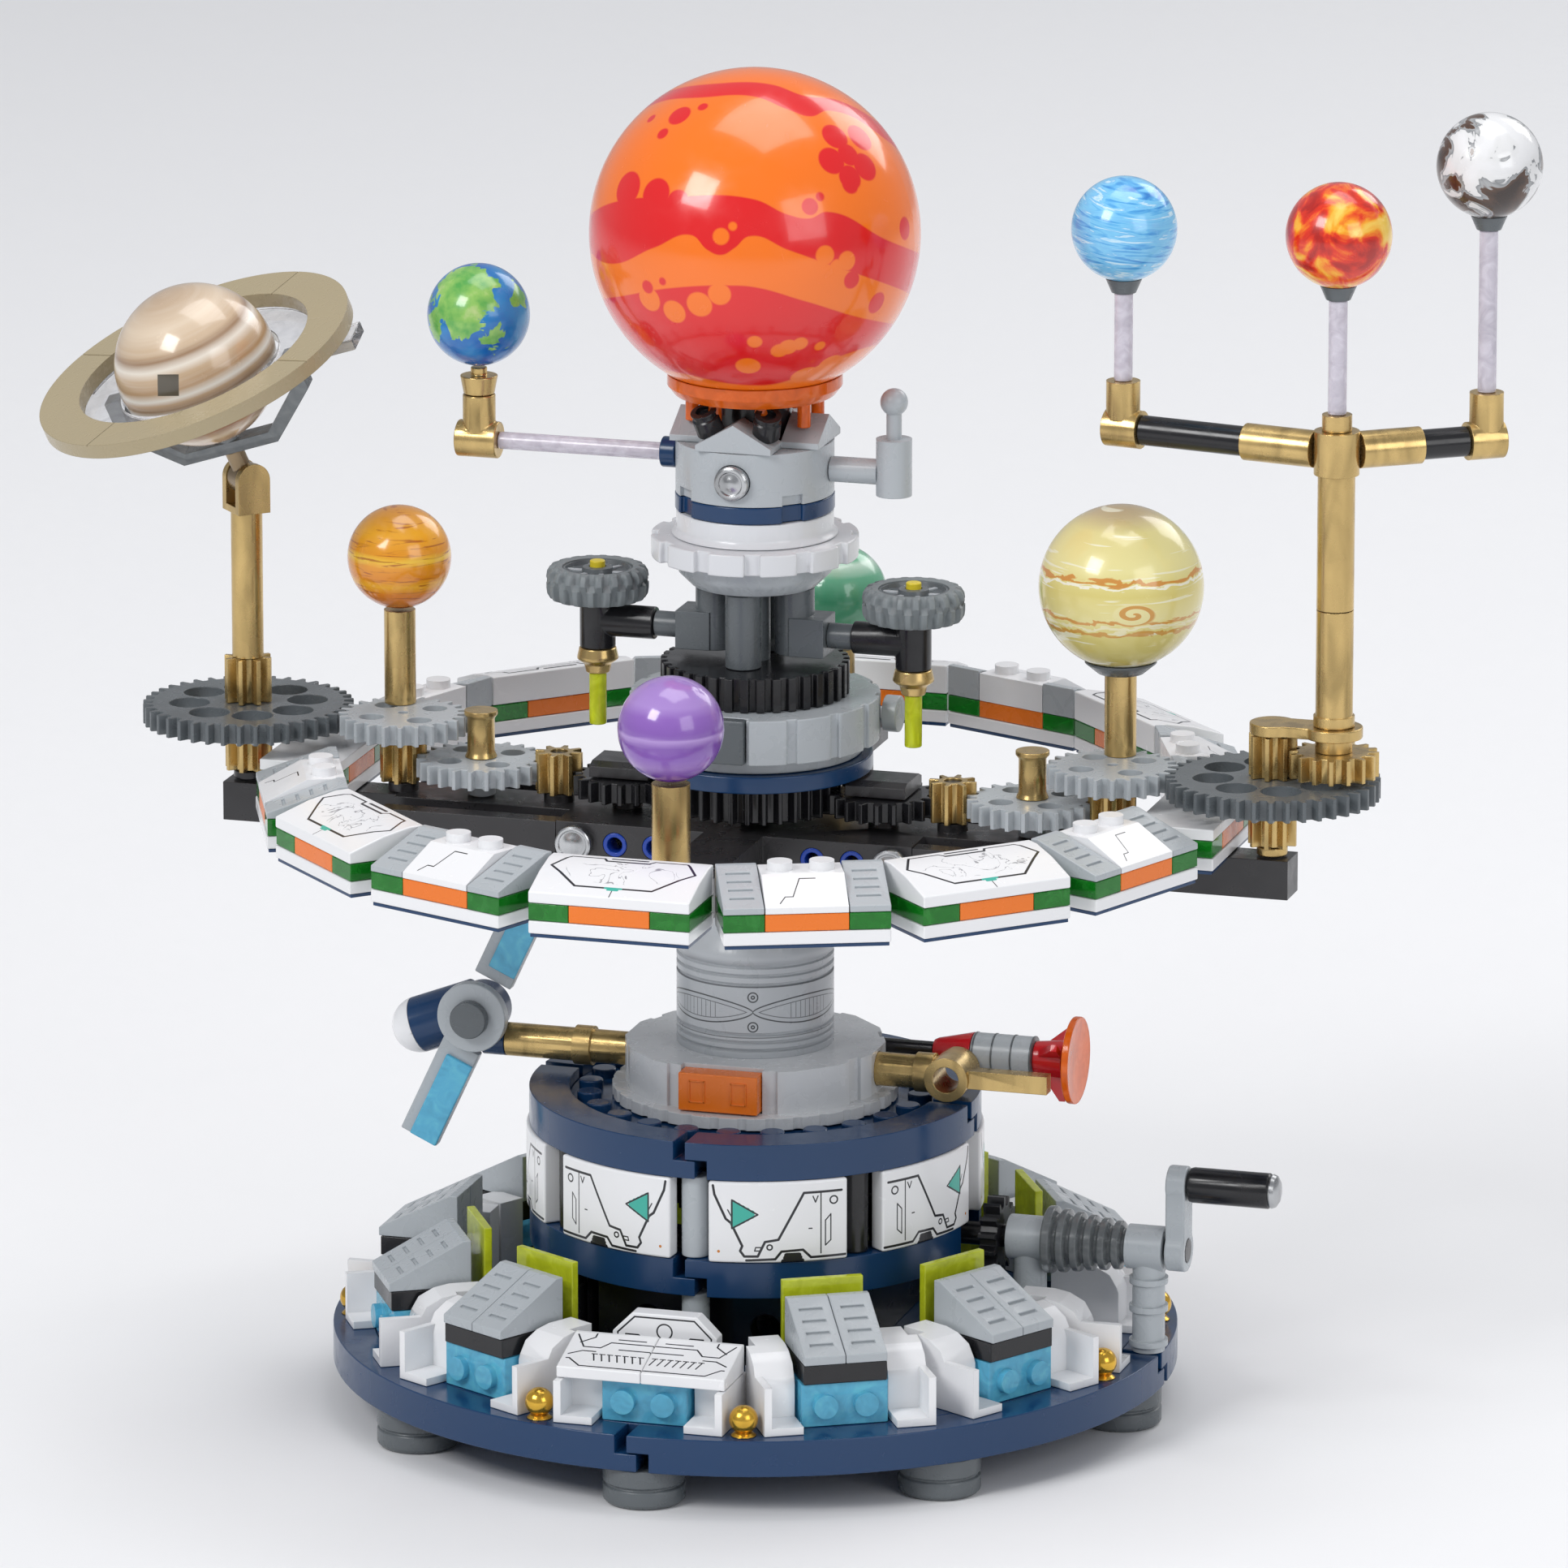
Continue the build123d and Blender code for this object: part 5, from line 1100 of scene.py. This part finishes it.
# ---------------------------------------------------------------- gear trains
HOLDER_POST = Vector((116, 0, 0))
for side in ("left", "right"):
    one_piece(f"idler_{side}", f"idler_gear_{side}", BLACK, "black", 0.15)
    one_piece(f"small_gear_{side}", f"small_wheel_{side}", GOLD, "gold", 0.15)
    rebuild(f"mid_gear_{side}", [
        (f"mid_bush_{side}", GOLD, "gold", lambda middle, size: middle.z > 125.5),
        (f"mid_wheel_{side}", LIGHT_GREY, "light_grey", lambda middle, size: size.x > 20),
        (f"mid_axle_{side}", BLACK, "black", None),
    ], 0.15)
    rebuild(f"planet_gear_{side}", [
        (f"planet_wheel_{side}", LIGHT_GREY, "light_grey", lambda middle, size: size.x > 20),
        (f"planet_post_{side}", GOLD, "gold", None),
    ], 0.15)
    rebuild(f"outer_gear_{side}", [
        (f"outer_wheel_{side}", DARK_GREY, "dark_grey", lambda middle, size: size.x > 30),
        (f"outer_fork_{side}", BRONZE, "gold", lambda middle, size: middle.z > 173),
        (f"outer_post_{side}", GOLD, "gold", None),
    ], 0.15)


def arm_sleeve(middle, size):
    """Whether a solid of the three-planet holder is the black outer half of an arm."""
    from_post = flat_radius(middle - HOLDER_POST)
    return 190 < middle.z < 202 and size.z < 6.5 and size.x > 8.5 and from_post > 18


rebuild("planet_holder", [
    ("holder_rods", CLEAR, "clear_blue", lambda middle, size: middle.z > 206 and size.x < 4),
    ("holder_sleeves", BLACK, "black", arm_sleeve),
    ("holder_gold", GOLD, "gold", None),
])


# ---------------------------------------------------------------- globes
def centre_of(node):
    """The middle of the largest solid in a node, in mm."""
    shape = node_shape(node)
    best = max(islands(shape), key=lambda island: (island[2] - island[1]).length)
    shape.free()
    return (best[1] + best[2]) / 2, (best[2] - best[1]).x / 2


PAINTS = {"blue_planet": blue_paint, "red_planet": red_paint, "grey_planet": grey_paint,
          "purple_planet": purple_paint,
          "green_planet": green_paint, "earth": earth_paint, "orange_planet": orange_paint,
          "jupiter": jupiter_paint,
          "sun_globe": sun_paint}
for node, paint_of in PAINTS.items():
    middle, radius = centre_of(node)
    if node in ("blue_planet", "red_planet", "grey_planet"):
        rebuild(node, [
            (f"{node}_cup", DARK_GREY, "dark_grey", lambda spot, size: size.x < 10),
            (f"{node}_globe", paint_of(middle), node.replace("_planet", "").join(("planet_", "")), None),
        ], 0.0)
    elif node == "jupiter":
        middle.z = 166.0
        rebuild(node, [
            ("jupiter_cup", DARK_GREY, "dark_grey", lambda spot, size: spot.z < 152),
            ("jupiter_globe", paint_of(middle), "planet_yellow", None),
        ], 0.0)
    else:
        keep(node, paint_of(middle))

saturn_middle, saturn_radius = centre_of("saturn_globe")
saturn_axis = Vector((-0.293, -0.277, 0.915)).normalized()
keep("saturn_globe", saturn_paint(saturn_middle, saturn_axis))
hoop = rebuild("saturn_ring", [
    ("saturn_hoop", TAN, "tan", lambda middle,
     size: size.x > 50 and abs((middle - saturn_middle).dot(saturn_axis)) < 1.2),
    ("saturn_glass", CLEAR_PLATE, "clear_blue", lambda middle, size: size.x > 50),
    ("saturn_cradle", SMOKE, "dark_grey", lambda middle, size: size.x > 25),
    ("saturn_neck", BRONZE, "gold", None),
], 0.2)
seams = []
for angle in (20, 110, 200, 290):
    turn = saturn_axis.to_track_quat("Z", "Y").to_matrix().to_4x4() @ Matrix.Rotation(math.radians(angle), 4,
            "Z")
    spot = saturn_middle + saturn_axis * 1.5 + turn @ Vector((28.2, 0, 0))
    seams.append(box((9.6, 0.22, 0.6), spot, turn))
carve(hoop["saturn_hoop"], merged(seams))

# ---------------------------------------------------------------- stage
floor_mesh = bpy.data.meshes.new("floor")
floor_shape = bmesh.new()
bmesh.ops.create_grid(floor_shape, x_segments=8, y_segments=8, size=6.0)
floor_shape.to_mesh(floor_mesh)
floor_shape.free()
floor = bpy.data.objects.new("floor", floor_mesh)
bpy.context.scene.collection.objects.link(floor)
floor_paint = Paint("floor_paper", Roughness=0.7)
floor_mesh.materials.append(floor_paint.moulded((0.86, 0.86, 0.87), 0.7, tone=0.01))

LIGHTS_AIM = Vector((0, 0, 0.12))


def soft_light(name, spot, size, power):
    """A square area light in metres and watts, aimed at the middle of the object."""
    data = bpy.data.lights.new(name, "AREA")
    data.shape, data.size, data.energy = "SQUARE", size, power
    light = bpy.data.objects.new(name, data)
    light.location = spot
    light.rotation_euler = (LIGHTS_AIM - Vector(spot)).to_track_quat("-Z", "Y").to_euler()
    bpy.context.scene.collection.objects.link(light)


soft_light("key", (-0.9, -1.5, 1.5), 0.8, 22)
soft_light("fill", (1.5, -1.1, 0.9), 1.0, 8)
soft_light("top", (0.1, 0.2, 1.9), 1.2, 13)
soft_light("rim", (0.7, 1.6, 1.2), 1.0, 9)

world = bpy.data.worlds.new("studio")
world.use_nodes = True
world.node_tree.nodes["Background"].inputs[0].default_value = (0.93, 0.95, 1.0, 1.0)
world.node_tree.nodes["Background"].inputs[1].default_value = 0.42
bpy.context.scene.world = world
bpy.context.scene.view_settings.view_transform = "Standard"

camera_data = bpy.data.cameras.new("camera")
camera_data.lens, camera_data.sensor_width = LENS, 36.0
camera_data.clip_start, camera_data.clip_end = 0.1, 30.0
camera = bpy.data.objects.new("camera", camera_data)
camera.location = (Vector((0, 0, AIM_Z)) + RIGHT * AIM_RIGHT + BACK * DISTANCE) * MM
camera.rotation_euler = (-BACK).to_track_quat("-Z", "Y").to_euler()
bpy.context.scene.collection.objects.link(camera)
bpy.context.scene.camera = camera
